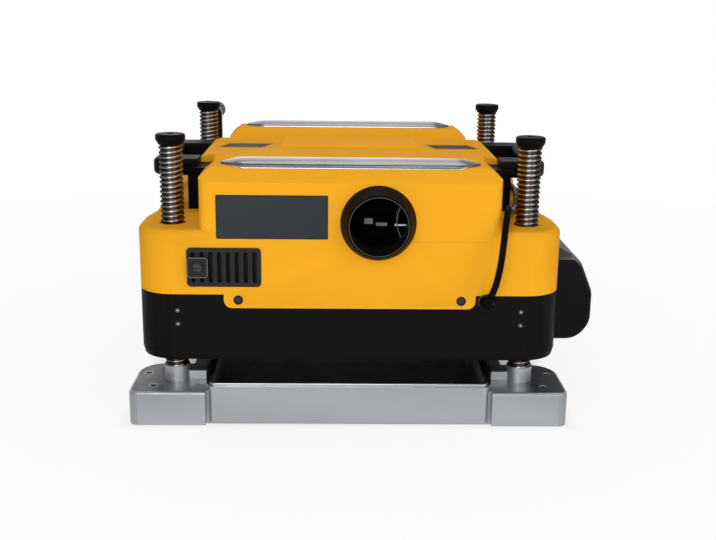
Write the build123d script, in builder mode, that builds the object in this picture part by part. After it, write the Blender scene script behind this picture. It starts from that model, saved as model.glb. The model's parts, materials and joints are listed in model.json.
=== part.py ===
from build123d import *
import math
import os

os.makedirs("parts", exist_ok=True)

# A portable thickness planer in millimetres. X runs along the cutterhead, the outfeed side
# faces -Y, Z is up, and the origin is the middle of the base on the bench.

# Base and table
table_width = 350.0
table_length = 488.0
table_top = 54.0
table_plate_thickness = 4.0
table_plate_margin = 3.0
table_corner = 9.0
table_edge = 1.3
guide_wall = 3.0
guide_height = 12.0
guide_half_length = 226.0
pad_half_width = 273.0
pad_half_length = 246.0
pad_inner = 138.0
pad_height = 44.0
pad_outer_corner = 12.0
pad_inner_corner = 35.0
pad_edge = 4.0
pad_notch = 6.0
table_lip_raise = 3.0
waist_half_width = 205.0
base_wall = 9.0
base_pocket_depth = 34.0
bench_hole_radius = 4.5
bench_hole_x = 245.0
bench_hole_y = 222.0
side_hole_x = 258.0
side_hole_y = 177.0

# Posts
post_x = 218.0
post_y = 195.0
post_radius = 14.6
post_root_radius = 12.0
post_pitch = 6.0
post_foot_depth = 34.0
thread_runout = 1.0
post_foot_radius = 10.0
post_neck_radius = 9.0
post_neck_length = 9.0
post_top = 343.0
boss_radius = 16.0
boss_top = 64.0
boss_rib_thickness = 9.0
boss_rib_top = 55.0
cap_radius = 18.0
cap_height = 7.0
cap_flare = 30.0
cap_collar_height = 5.8
cap_dimple_radius = 4.0
cap_dimple_depth = 2.0
cap_edge = 2.3
bolt_radius = 5.0
bolt_head_radius = 8.0
bolt_head_height = 6.0
bolt_length = 24.0

# Head shells
head_half_width = 259.0
head_half_length = 242.0
head_corner = 45.0
skirt_bottom = 85.0
split_height = 168.0
shoulder_top = 247.0
shell_wall = 4.0
shoulder_edge = 7.0
ledge_height = 211.0
ledge_half_length = 118.0
ledge_depth = 7.0
ledge_slope = 45.0
skirt_tuck = 2.0
skirt_tuck_height = 8.0
cup_bottom = 76.0
cup_wall = 4.0
cup_clearance = 2.0
cup_flange_radius = 36.0
cup_notch_height = 8.0
cup_notch_gap = 1.0
window_low = 93.0
window_high = 162.0
window_half_length = 98.0
hood_seat = 16.0
tab_half_width = 152.5
tab_bottom = 151.0
tab_corner = 10.0
shell_gap = 0.3
post_hole_clearance = 0.8
hood_half_width = 181.0
hood_top = 320.0
crease_drop = 15.0
hood_crease = hood_top - crease_drop
hood_lean = 27.0
ridge_inner = 166.0
valley_outer = 150.0
valley_drop = 16.0
valley_top = hood_top - valley_drop
plateau_start = -62.0
plateau_end = 113.0
plateau_drop = 9.0
plateau_top = hood_top - plateau_drop
plateau_lip = 10.0
hood_wall = 3.5
hood_corner = 12.0
hood_round = 5.0
hood_bevel_x = 14.0
hood_bevel_z = 11.0
crown_half_width = 98.0
crown_start = 16.0
crown_height = 4.0
crown_taper = 30.0
pocket_inner = 122.0
pocket_outer = 184.0
pocket_start = 10.0
pocket_end = 56.0
pocket_slant = 14.0
pocket_depth = 5.0

# Rails and handles
rail_length = 316.0
rail_back = 172.0
rail_front = 219.0
rail_height = 8.5
rail_taper = 26.0
rail_tip = 10.0
handle_wall_half = 112.0
handle_wall_thickness = 18.0
handle_arm_y = 76.0
handle_arm_width = 46.0
handle_bottom = 288.0
handle_corner = 22.0
handle_round = 6.0
handle_thickness = 22.0
handle_reach = 259.0
handle_grip_width = 24.0
handle_pillar_thickness = 11.0
handle_pillar_length = 24.0

# Front fittings on the outfeed face
grille_left = -196.0
grille_right = -107.0
grille_low = 178.0
grille_high = 226.0
grille_depth = 6.0
grille_proud = 1.5
grille_lip = 2.5
grille_slots = 8
brush_x = -183.0
brush_z = 202.0
brush_radius = 8.0
brush_frame = 13.0
brush_edge = 1.0
brush_slot = 2.0
port_x = 33.0
port_z = 257.0
port_base_radius = 45.5
port_rim_radius = 37.5
port_bore_radius = 34.0
port_length = 23.0
pipe_radius = 39.0
pipe_wall = 2.5
pipe_length = 134.0
port_spigot = 6.0
port_edge = 1.2
gland_x = 165.0
gland_z = 157.0
gland_radius = 8.0
gland_shank_radius = 5.5
gland_height = 7.5
gland_sink = 1.5
gland_nozzle = 16.0
gland_tip_radius = 5.2
gland_direction = (0.25, -0.45, 0.86)
cord_lead = 14.0
screw_x = 135.0
screw_z = 161.0
screw_radius = 6.0
screw_recess = 2.0
screw_head_height = 1.6
side_screw_radius = 3.0
side_screw_height = 1.0
screw_shank_radius = 2.0
side_screw_x = 208.5
side_screw_high = 148.0
side_screw_low = 131.0

# Cutterhead and feed
cutter_y = 0.0
cutter_radius = 24.0
cutter_body_radius = 22.5
cutter_length = 330.0
cutter_end_gap = 14.0
cutter_drop = 0.0
cutter_shaft_radius = 10.0
knife_thickness = 3.0
knife_height = 14.0
knife_count = 3
clamp_thickness = 6.0
clamp_height = 11.0
roller_y = 72.0
roller_radius = 20.0
roller_end_gap = 13.0
roller_drop = 1.0
roller_shaft_radius = 8.0
roller_shaft_end = 2.0
side_plate_thickness = 11.0
side_plate_half_length = 155.0
side_plate_bottom = 88.0
side_plate_top = 216.0
bearing_radius = 20.0
bush_radius = 12.0
bar_y = 140.0
bar_z = 114.0
bar_width = 20.0
cradle_inset = 26.0
cradle_thickness = 10.0
cradle_length = 52.0
running_fit = 0.05
face_gap = 0.5

# Motor and chip fan
motor_y = -120.0
motor_z = 190.0
motor_radius = 44.0
motor_end_gap = 7.0
motor_wall = 4.0
rotor_radius = 27.0
rotor_shaft_radius = 6.0
rotor_gap = 1.0
motor_bearing_radius = 13.0
stack_start_gap = 44.0
stack_end_gap = 42.0
commutator_length = 30.0
commutator_radius = 15.0
fan_width = 56.0
fan_gap = 13.0
fan_wall = 3.0
fan_radius = 58.0
impeller_radius = 50.0
impeller_blades = 8
blade_thickness = 3.0
blade_width = 34.0
blade_gap = 4.0
fan_inlet_radius = 24.0

# Belt, gears and chains
belt_stand_off = 18.0
belt_width = 16.0
belt_thickness = 3.0
motor_pulley_radius = 11.0
cutter_pulley_radius = 20.0
cover_half_length = 145.0
cover_reach = 319.0
cover_bottom = 81.0
cover_top = 212.0
cover_brow_x = 301.0
cover_brow_z = 190.0
cover_cheek_z = 146.0
cover_jaw_z = 104.0
cover_toe_x = 302.0
cover_corner = 30.0
cover_bevel_run = 24.0
cover_wall = 3.0
gear_plate_thickness = 4.0
gear_plate_half_length = 105.0
gear_radius = 42.0
pinion_radius = 5.0
gear_width = 6.0
gear_axle_radius = 4.0
gear_first_y = 30.0
gear_mesh_gap = 0.4
gear_side_gap = 2.0
gear_stack = 19.0
gear_plate_bottom = 90.0
gear_plate_top = 186.0
gear_plate_corner = 12.0
pinion_reach = 14.0
cover_edge = 6.0
belt_margin = 0.5
feed_sprocket_radius = 15.0
feed_driver_radius = 7.0
chain_thickness = 3.0
chain_width = 5.0
chain_gap = 0.3

# Lift nuts and crank
nut_sleeve_radius = 20.0
nut_flange_radius = 25.0
nut_flange_height = 7.0
nut_bore_clearance = 0.5
nut_neck_radius = 18.0
nut_top_margin = 2.0
ear_bottom = 130.0
ear_thickness = 10.0
ear_radius = 28.0
lift_chain_bottom = 145.0
crank_x = -post_x
crank_z = 205.0
crank_arm_length = 126.0
crank_arm_width = 28.0
crank_arm_thickness = 9.0
crank_hub_radius = 15.0
crank_shaft_radius = 6.0
crank_stand_off = 10.0
crank_grip_radius = 13.0
crank_grip_length = 62.0
crank_pin_radius = 5.0
drive_ring_radius = 26.0
drive_ring_height = 6.0
crank_pinion_radius = 9.0
crank_pinion_width = 10.0
crank_pinion_gap = 3.0
crank_hub_proud = 3.0
crank_pin_head = 3.0
crank_grip_edge = 3.25

# Controls on the infeed face
panel_x = 110.0
panel_z = 205.0
panel_width = 92.0
panel_height = 60.0
panel_depth = 16.0
panel_corner = 6.0
panel_edge = 2.0
paddle_x = 90.0
paddle_pivot_depth = 3.0
paddle_pocket = 11.0
paddle_end_gap = 1.2
paddle_pin_radius = 2.0
paddle_pin_reach = 4.0
paddle_width = 30.0
paddle_height = 40.0
paddle_thickness = 8.0
paddle_edge = 2.0
button_radius = 6.0
button_travel = 4.0
button_edge = 1.0
button_x = 138.0
stop_x = 120.0
stop_z = 124.0
stop_radius = 19.0
stop_length = 22.0
stop_shaft_radius = 5.0
stop_lobe = 6.0
stop_lobes = 6
stop_edge = 1.5
scale_stand_off = 11.0
scale_width = 20.0
scale_low = 92.0
scale_high = 232.0
scale_thickness = 1.5
pointer_width = 12.0
pointer_thickness = 4.0
pointer_tip = 104.0
pointer_foot = 20.0
deflector_half = 38.0
deflector_low = 126.0
deflector_high = 148.0
deflector_bend = 16.0
deflector_thickness = 2.0

# Cord, its coil and plug
cord_diameter = 8.0
coil_radius = 60.0
coil_step = 8.6
coil_turns_in = 3.0
coil_turns_out = 2.75
coil_tail = 36.0
plug_radius = 12.5
plug_edge = 4.0
plug_neck_radius = 5.2
plug_neck_length = 20.0
plug_length = 32.0
plug_pin_radius = 2.4
plug_pin_length = 18.0
plug_pin_spacing = 14.0

# Worked out from the driving dimensions
cutter_z = skirt_bottom - cutter_drop + cutter_radius
roller_z = skirt_bottom - roller_drop + roller_radius
side_plate_inner = cutter_length / 2 + cutter_end_gap
side_plate_outer = side_plate_inner + side_plate_thickness
roller_length = 2 * (side_plate_inner - roller_end_gap)
fan_start = port_x - fan_width / 2
fan_end = port_x + fan_width / 2
motor_start = -side_plate_inner + motor_end_gap
motor_end = fan_start - fan_gap
stack_start = motor_start + stack_start_gap
stack_length = motor_end - stack_end_gap - stack_start
cradle_x = (motor_start + cradle_inset, motor_end - cradle_inset, port_x)
belt_start = side_plate_outer + belt_stand_off
scale_x = table_width / 2 + scale_stand_off
plateau_half_width = hood_half_width + handle_wall_thickness
plate_seat = table_top - table_plate_thickness
outfeed_face = Plane.XZ.offset(head_half_length)
# On the infeed face the sketch's own x runs towards -X
infeed_face = Plane((0, head_half_length, 0), x_dir=(-1, 0, 0), z_dir=(0, 1, 0))
side_screws = [(side * side_screw_x, z) for side in (-1, 1) for z in (side_screw_low, side_screw_high)]
posts = {
    "outfeed_left": (-post_x, -post_y),
    "outfeed_right": (post_x, -post_y),
    "infeed_left": (-post_x, post_y),
    "infeed_right": (post_x, post_y),
}


def hand_in(piece, name):
    """Label a finished piece and write it as its own file."""
    piece.part.label = name
    export_step(piece.part, f"parts/{name}.step")


# Base casting: four corner pads, the waist and the block under the table
with BuildPart() as base_casting:
    with BuildSketch():
        with Locations((0, (pad_half_length + pad_inner) / 2), (0, -(pad_half_length + pad_inner) / 2)):
            Rectangle(2 * pad_half_width, pad_half_length - pad_inner)
        fillet(vertices().filter_by(lambda v: abs(v.Y) > pad_inner + 1), pad_outer_corner)
        fillet(vertices().filter_by(lambda v: abs(abs(v.Y) - pad_inner) < 0.01), pad_inner_corner)
    extrude(amount=pad_height)
    fillet(edges().group_by(Axis.Z)[-1], pad_edge)
    with BuildSketch():
        Rectangle(2 * waist_half_width, 2 * pad_inner + 2 * pad_inner_corner)
    extrude(amount=pad_height - pad_edge)
    # The table block's ends stand in notches between the pads, just clear of the bench
    with BuildSketch():
        with GridLocations(0, 2 * pad_half_length - pad_notch, 1, 2):
            Rectangle(table_width + 2 * guide_wall, pad_notch)
    extrude(amount=pad_height, mode=Mode.SUBTRACT)
    with BuildSketch(Plane.XY.offset(table_lip_raise)):
        RectangleRounded(table_width, table_length, table_corner)
    extrude(amount=plate_seat - table_lip_raise)
    with BuildSketch():
        with GridLocations(2 * post_x, 2 * post_y, 2, 2):
            Circle(boss_radius)
    extrude(amount=boss_top)
    with BuildSketch():
        with GridLocations(post_x + table_width / 2, 2 * post_y, 2, 2):
            Rectangle(post_x - table_width / 2, boss_rib_thickness)
    extrude(amount=boss_rib_top)
    # Low guide walls along both sides of the table
    with BuildSketch():
        with GridLocations(table_width + guide_wall, 0, 2, 1):
            Rectangle(guide_wall, 2 * guide_half_length)
    extrude(amount=table_top + guide_height)
    with BuildSketch():
        Rectangle(table_width - 2 * base_wall, table_length - 2 * base_wall)
    extrude(amount=base_pocket_depth, mode=Mode.SUBTRACT)
    with Locations(Plane.XY.offset(boss_top)):
        with GridLocations(2 * post_x, 2 * post_y, 2, 2):
            Hole(post_foot_radius + running_fit, depth=post_foot_depth)
    with Locations(Plane.XY.offset(pad_height)):
        with GridLocations(2 * post_x, 2 * post_y, 2, 2):
            Hole(bolt_radius + running_fit)
        with GridLocations(2 * bench_hole_x, 2 * bench_hole_y, 2, 2):
            Hole(bench_hole_radius)
        with GridLocations(2 * side_hole_x, 2 * side_hole_y, 2, 2):
            Hole(bench_hole_radius)
    with BuildSketch():
        with GridLocations(2 * post_x, 2 * post_y, 2, 2):
            Circle(bolt_head_radius + face_gap)
    extrude(amount=bolt_head_height + face_gap, mode=Mode.SUBTRACT)
hand_in(base_casting, "base_casting")

with BuildPart() as table_plate:
    with BuildSketch(Plane.XY.offset(plate_seat)):
        RectangleRounded(table_width - 2 * table_plate_margin, table_length - 2 * table_plate_margin,
                         table_corner - table_plate_margin)
    extrude(amount=table_plate_thickness)
    fillet(edges().group_by(Axis.Z)[-1], table_edge)
hand_in(table_plate, "table_plate")

# Posts: a plain foot in the boss, a threaded column with one ring groove a pitch, and a neck for the cap
thread_start = boss_top + thread_runout
thread_count = int((post_top - thread_start) / post_pitch)
flank = (post_radius - post_root_radius) / 2
for name, (x, y) in posts.items():
    with BuildPart() as post:
        with BuildSketch(Plane.XZ.offset(-y)):
            with BuildLine():
                outline = [(x, boss_top - post_foot_depth)]
                outline.append((x + post_foot_radius, boss_top - post_foot_depth))
                outline.append((x + post_foot_radius, boss_top))
                outline.append((x + post_radius, boss_top))
                outline.append((x + post_radius, thread_start))
                for turn in range(thread_count):
                    low = thread_start + turn * post_pitch
                    outline.append((x + post_root_radius, low + flank))
                    outline.append((x + post_root_radius, low + post_pitch / 2 - flank / 2))
                    outline.append((x + post_radius, low + post_pitch / 2 + flank / 2))
                    outline.append((x + post_radius, low + post_pitch))
                outline.append((x + post_radius, post_top))
                outline.append((x + post_neck_radius, post_top))
                outline.append((x + post_neck_radius, post_top + post_neck_length))
                outline.append((x, post_top + post_neck_length))
                Polyline(*outline, close=True)
            make_face()
        revolve(axis=Axis((x, y, 0), (0, 0, 1)))
        with Locations(Plane((x, y, boss_top - post_foot_depth), z_dir=(0, 0, -1))):
            Hole(bolt_radius + running_fit, depth=bolt_length)
    hand_in(post, f"post_{name}")

with BuildPart() as post_caps:
    with BuildSketch(Plane.XY.offset(post_top)):
        with GridLocations(2 * post_x, 2 * post_y, 2, 2):
            Circle(post_radius)
    extrude(amount=cap_collar_height, taper=-cap_flare)
    with BuildSketch(Plane.XY.offset(post_top + cap_collar_height)):
        with GridLocations(2 * post_x, 2 * post_y, 2, 2):
            Circle(cap_radius)
    extrude(amount=cap_height)
    fillet(edges().group_by(Axis.Z)[-1], cap_edge)
    with Locations(Plane.XY.offset(post_top + cap_collar_height + cap_height)):
        with GridLocations(2 * post_x, 2 * post_y, 2, 2):
            Hole(cap_dimple_radius, depth=cap_dimple_depth)
    with BuildSketch(Plane.XY.offset(post_top)):
        with GridLocations(2 * post_x, 2 * post_y, 2, 2):
            Circle(post_neck_radius + running_fit)
    extrude(amount=post_neck_length + face_gap, mode=Mode.SUBTRACT)
hand_in(post_caps, "post_caps")

bolt_seat = bolt_head_height + face_gap
with BuildPart() as post_bolts:
    with BuildSketch(Plane.XY.offset(face_gap)):
        with GridLocations(2 * post_x, 2 * post_y, 2, 2):
            RegularPolygon(bolt_head_radius, 6)
    extrude(amount=bolt_head_height)
    with BuildSketch(Plane.XY.offset(bolt_seat)):
        with GridLocations(2 * post_x, 2 * post_y, 2, 2):
            Circle(bolt_radius)
    extrude(amount=boss_top - post_foot_depth - bolt_seat + bolt_length - face_gap)
hand_in(post_bolts, "post_bolts")

# Lower skirt: a black shell that tucks in at its bottom edge, open above and below
with BuildPart() as lower_skirt:
    for height, tuck in ((skirt_bottom, skirt_tuck), (skirt_bottom + skirt_tuck_height, 0)):
        with BuildSketch(Plane.XY.offset(height)):
            RectangleRounded(2 * (head_half_width - tuck), 2 * (head_half_length - tuck), head_corner - tuck)
    loft()
    with BuildSketch(Plane.XY.offset(skirt_bottom + skirt_tuck_height)):
        RectangleRounded(2 * head_half_width, 2 * head_half_length, head_corner)
    extrude(amount=split_height - skirt_bottom - skirt_tuck_height)
    insets = ((skirt_bottom, shell_wall + skirt_tuck), (skirt_bottom + skirt_tuck_height, shell_wall))
    for height, inset in insets:
        with BuildSketch(Plane.XY.offset(height)):
            RectangleRounded(2 * (head_half_width - inset), 2 * (head_half_length - inset),
                             head_corner - inset)
        extrude(amount=split_height - height, mode=Mode.SUBTRACT)
    # Flanged cup round each post under the skirt's corners, notched to pass the boss ribs
    cup_inner = boss_radius + cup_clearance
    with BuildSketch(Plane.XY.offset(skirt_bottom)):
        with GridLocations(2 * post_x, 2 * post_y, 2, 2):
            Circle(cup_flange_radius)
        RectangleRounded(2 * (head_half_width - skirt_tuck), 2 * (head_half_length - skirt_tuck),
                         head_corner - skirt_tuck, mode=Mode.INTERSECT)
    extrude(amount=shell_wall)
    with BuildSketch(Plane.XY.offset(cup_bottom)):
        with GridLocations(2 * post_x, 2 * post_y, 2, 2):
            Circle(cup_inner + cup_wall)
    extrude(amount=skirt_bottom - cup_bottom)
    with BuildSketch(Plane.XY.offset(cup_bottom)):
        with GridLocations(2 * post_x, 2 * post_y, 2, 2):
            Circle(cup_inner)
    extrude(amount=skirt_bottom + shell_wall - cup_bottom, mode=Mode.SUBTRACT)
    with BuildSketch(Plane.XY.offset(cup_bottom)):
        with GridLocations(post_x + table_width / 2, 2 * post_y, 2, 2):
            Rectangle(post_x - table_width / 2, boss_rib_thickness + 2 * cup_notch_gap)
    extrude(amount=cup_notch_height, mode=Mode.SUBTRACT)
    # Notch for the yellow tab above it
    with BuildSketch(outfeed_face):
        with Locations((0, (tab_bottom + split_height) / 2)):
            Rectangle(2 * (tab_half_width + shell_gap), split_height - tab_bottom + 2 * shell_gap)
        fillet(vertices().group_by(Axis.Y)[0], tab_corner)
    extrude(amount=-shell_wall, mode=Mode.SUBTRACT)
    # Window in the drive side, behind the drive cover
    with BuildSketch(Plane.YZ.offset(head_half_width)):
        with Locations((0, (window_low + window_high) / 2)):
            Rectangle(2 * window_half_length, window_high - window_low)
    extrude(amount=-2 * shell_wall - skirt_tuck, mode=Mode.SUBTRACT)
    with Locations(outfeed_face):
        with Locations((gland_x, gland_z)):
            Hole(gland_shank_radius + running_fit, depth=shell_wall)
        with Locations(*side_screws):
            Hole(screw_shank_radius + running_fit, depth=shell_wall)
    with Locations(infeed_face):
        with Locations((-stop_x, stop_z)):
            Hole(stop_shaft_radius + running_fit, depth=shell_wall)
hand_in(lower_skirt, "lower_skirt")

# Mid housing: the yellow band with the four shoulders that the posts come up through
with BuildPart() as mid_housing:
    with BuildSketch(Plane.XY.offset(split_height)):
        RectangleRounded(2 * head_half_width, 2 * head_half_length, head_corner)
    extrude(amount=shoulder_top - split_height)
    with BuildSketch(Plane.XY.offset(ledge_height)):
        for side in (-1, 1):
            with BuildLine():
                Polyline(
                    (side * (head_half_width + 1), -ledge_half_length - ledge_slope),
                    (side * (head_half_width - ledge_depth), -ledge_half_length),
                    (side * (head_half_width - ledge_depth), ledge_half_length),
                    (side * (head_half_width + 1), ledge_half_length + ledge_slope),
                    close=True,
                )
            make_face()
    extrude(amount=shoulder_top - ledge_height, mode=Mode.SUBTRACT)
    fillet(edges().group_by(Axis.Z)[-1], shoulder_edge)
    # Square edge kept under the hood, so that the two shells meet flush
    with BuildSketch(Plane.XY.offset(shoulder_top - shoulder_edge)):
        RectangleRounded(2 * hood_half_width, 2 * head_half_length, hood_corner)
    extrude(amount=shoulder_edge)
    upper_inset = shell_wall + ledge_depth
    with BuildSketch(Plane.XY.offset(split_height)):
        RectangleRounded(2 * (head_half_width - shell_wall), 2 * (head_half_length - shell_wall),
                         head_corner - shell_wall)
    extrude(amount=ledge_height - shell_wall - split_height, mode=Mode.SUBTRACT)
    with BuildSketch(Plane.XY.offset(split_height)):
        RectangleRounded(2 * (head_half_width - upper_inset), 2 * (head_half_length - shell_wall),
                         head_corner - upper_inset)
    extrude(amount=shoulder_top - shell_wall - split_height, mode=Mode.SUBTRACT)
    # Opening under the hood, and the post holes
    with BuildSketch(Plane.XY.offset(shoulder_top)):
        Rectangle(2 * (hood_half_width - hood_seat), 2 * (head_half_length - hood_seat))
        with GridLocations(2 * post_x, 2 * post_y, 2, 2):
            Circle(post_radius + post_hole_clearance)
    extrude(amount=-2 * shell_wall, mode=Mode.SUBTRACT)
    # Tab on the outfeed face
    with BuildSketch(outfeed_face):
        with Locations((0, (tab_bottom + split_height + shell_wall) / 2)):
            Rectangle(2 * tab_half_width, split_height + shell_wall - tab_bottom)
        fillet(vertices().group_by(Axis.Y)[0], tab_corner)
    extrude(amount=-shell_wall)
    with Locations(outfeed_face):
        with Locations((-screw_x, screw_z), (screw_x, screw_z)):
            CounterBoreHole(screw_shank_radius + running_fit, screw_radius, screw_recess, depth=shell_wall)
        with Locations((port_x, port_z)):
            Hole(pipe_radius + shell_gap, depth=hood_seat + shell_wall)
    with BuildSketch(outfeed_face):
        with Locations(((grille_left + grille_right) / 2, (grille_low + grille_high) / 2)):
            Rectangle(grille_right - grille_left - 2 * grille_lip, grille_high - grille_low - 2 * grille_lip)
    extrude(amount=-shell_wall, mode=Mode.SUBTRACT)
    with Locations(infeed_face):
        with Locations((-crank_x, crank_z)):
            Hole(crank_shaft_radius + running_fit, depth=2 * shell_wall)
hand_in(mid_housing, "mid_housing")

# Hood: two ridges that carry the rails, with a wider plateau between them
hood_profile = [
    (-head_half_length, shoulder_top),
    (-head_half_length, hood_crease),
    (-head_half_length + hood_lean, hood_top),
    (-ridge_inner, hood_top),
    (-valley_outer, valley_top),
    (plateau_start - plateau_lip, valley_top),
    (plateau_start, plateau_top),
    (plateau_end, plateau_top),
    (plateau_end + plateau_lip, valley_top),
    (valley_outer, valley_top),
    (ridge_inner, hood_top),
    (head_half_length - hood_lean, hood_top),
    (head_half_length, hood_crease),
    (head_half_length, shoulder_top),
]
with BuildPart() as hood:
    with BuildSketch(Plane.YZ):
        with BuildLine():
            Polyline(*hood_profile, close=True)
        make_face()
        fillet(vertices().filter_by(lambda v: v.Y > hood_crease + 1), hood_round)
    extrude(amount=hood_half_width, both=True)
    with BuildSketch(Plane.XY.offset(shoulder_top)):
        RectangleRounded(2 * hood_half_width, 2 * head_half_length, hood_corner)
    extrude(amount=hood_top, mode=Mode.INTERSECT)
    # Bevelled upper corners of the ridges
    with BuildSketch(Plane.XZ):
        for side in (-1, 1):
            with BuildLine():
                Polyline(
                    (side * (hood_half_width - 2 * hood_bevel_x), hood_top + hood_bevel_z),
                    (side * (hood_half_width + hood_bevel_x), hood_top - 2 * hood_bevel_z),
                    (side * (hood_half_width + hood_bevel_x), hood_top + hood_bevel_z),
                    close=True,
                )
            make_face()
    extrude(amount=head_half_length, both=True, mode=Mode.SUBTRACT)
    # Plateau that reaches out over the handle walls
    with BuildSketch(Plane.XZ.offset(-plateau_end)):
        with BuildLine():
            Polyline(
                (-plateau_half_width, plateau_top - plateau_lip),
                (plateau_half_width, plateau_top - plateau_lip),
                (plateau_half_width, plateau_top - plateau_lip / 3),
                (plateau_half_width - plateau_lip, plateau_top),
                (-plateau_half_width + plateau_lip, plateau_top),
                (-plateau_half_width, plateau_top - plateau_lip / 3),
                close=True,
            )
        make_face()
    extrude(amount=plateau_end - plateau_start)
    with BuildSketch(Plane.XY.offset(plateau_top)):
        with Locations((0, (crown_start + plateau_end) / 2)):
            Rectangle(2 * crown_half_width, plateau_end - crown_start)
    extrude(amount=crown_height, taper=crown_taper)
    # Hollow inside, open below
    with BuildSketch(Plane.YZ):
        with BuildLine():
            Polyline(
                (-head_half_length + hood_wall, shoulder_top),
                (-head_half_length + hood_wall, hood_crease - hood_wall),
                (-head_half_length + hood_lean, hood_top - 2 * hood_wall),
                (-ridge_inner, hood_top - 2 * hood_wall),
                (-valley_outer, valley_top - hood_wall),
                (valley_outer, valley_top - hood_wall),
                (ridge_inner, hood_top - 2 * hood_wall),
                (head_half_length - hood_lean, hood_top - 2 * hood_wall),
                (head_half_length - hood_wall, hood_crease - hood_wall),
                (head_half_length - hood_wall, shoulder_top),
                close=True,
            )
        make_face()
    extrude(amount=hood_half_width - hood_bevel_x, both=True, mode=Mode.SUBTRACT)
    # Slanted hand pockets in the plateau
    with BuildSketch(Plane.XY.offset(plateau_top)):
        for side in (-1, 1):
            with BuildLine():
                Polyline(
                    (side * pocket_inner, pocket_start),
                    (side * pocket_outer, pocket_start),
                    (side * (pocket_outer - pocket_slant), pocket_end),
                    (side * (pocket_inner - pocket_slant), pocket_end),
                    close=True,
                )
            make_face()
    extrude(amount=-pocket_depth, mode=Mode.SUBTRACT)
    with Locations(outfeed_face):
        with Locations((port_x, port_z)):
            Hole(pipe_radius + shell_gap, depth=hood_lean)
hand_in(hood, "hood")

# Chrome rails on the ridges: a low dome with pointed ends that laps over the outer edge of its ridge
rail_y = (rail_back + rail_front) / 2
rail_half_width = (rail_front - rail_back) / 2
ridge_outer = head_half_length - hood_lean
rail_lip = hood_top - (rail_front - ridge_outer) * (hood_top - hood_crease) / hood_lean
with BuildPart() as carry_rails:
    with BuildSketch(Plane.YZ):
        for side in (-1, 1):
            with BuildLine():
                Polyline(
                    (side * rail_back, hood_top),
                    (side * ridge_outer, hood_top),
                    (side * rail_front, rail_lip),
                )
                ThreePointArc(
                    (side * rail_front, rail_lip),
                    (side * rail_y, hood_top + rail_height),
                    (side * rail_back, hood_top),
                )
            make_face()
    extrude(amount=rail_length / 2, both=True)
    with BuildSketch(Plane.XY.offset(hood_crease)):
        for side in (-1, 1):
            with BuildLine():
                Polyline(
                    (-rail_length / 2, side * rail_y - rail_tip / 2),
                    (-rail_length / 2 + rail_taper, side * rail_y - rail_half_width),
                    (rail_length / 2 - rail_taper, side * rail_y - rail_half_width),
                    (rail_length / 2, side * rail_y - rail_tip / 2),
                    (rail_length / 2, side * rail_y + rail_tip / 2),
                    (rail_length / 2 - rail_taper, side * rail_y + rail_half_width),
                    (-rail_length / 2 + rail_taper, side * rail_y + rail_half_width),
                    (-rail_length / 2, side * rail_y + rail_tip / 2),
                    close=True,
                )
            make_face()
    extrude(amount=hood_top - hood_crease + 2 * rail_height, mode=Mode.INTERSECT)
hand_in(carry_rails, "carry_rails")

# Carrying handles: a wall against the hood side with a loop standing out from it
for name, side in (("handle_left", -1), ("handle_right", 1)):
    with BuildPart() as handle:
        wall_middle = side * (hood_half_width + plateau_half_width) / 2
        with BuildSketch(Plane.XY.offset(shoulder_top)):
            with Locations((wall_middle, 0)):
                Rectangle(plateau_half_width - hood_half_width, 2 * handle_wall_half)
        extrude(amount=plateau_top - plateau_lip - shoulder_top)
        with BuildSketch(Plane.XY.offset(handle_bottom)):
            with Locations((side * (plateau_half_width + handle_reach) / 2, 0)):
                Rectangle(handle_reach - plateau_half_width, 2 * handle_arm_y + handle_arm_width)
            fillet(vertices().filter_by(lambda v: abs(v.X) > handle_reach - 1), handle_corner)
            with Locations((side * (plateau_half_width + handle_reach - handle_grip_width) / 2, 0)):
                Rectangle(handle_reach - handle_grip_width - plateau_half_width,
                          2 * handle_arm_y - handle_arm_width, mode=Mode.SUBTRACT)
        extrude(amount=handle_thickness)
        rims = edges().filter_by(lambda e: abs(e.center().X) > plateau_half_width + 1)
        fillet(rims.filter_by(Plane.XY), handle_round)
        # Pillars that thicken both ends of the wall under the arms
        pillar_x = side * (plateau_half_width + handle_pillar_thickness / 2)
        with BuildSketch(Plane.XY.offset(shoulder_top)):
            with Locations((pillar_x, 0)):
                with GridLocations(0, 2 * handle_wall_half - handle_pillar_length, 1, 2):
                    Rectangle(handle_pillar_thickness, handle_pillar_length)
        extrude(amount=plateau_top - plateau_lip - shoulder_top)
    hand_in(handle, name)

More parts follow.
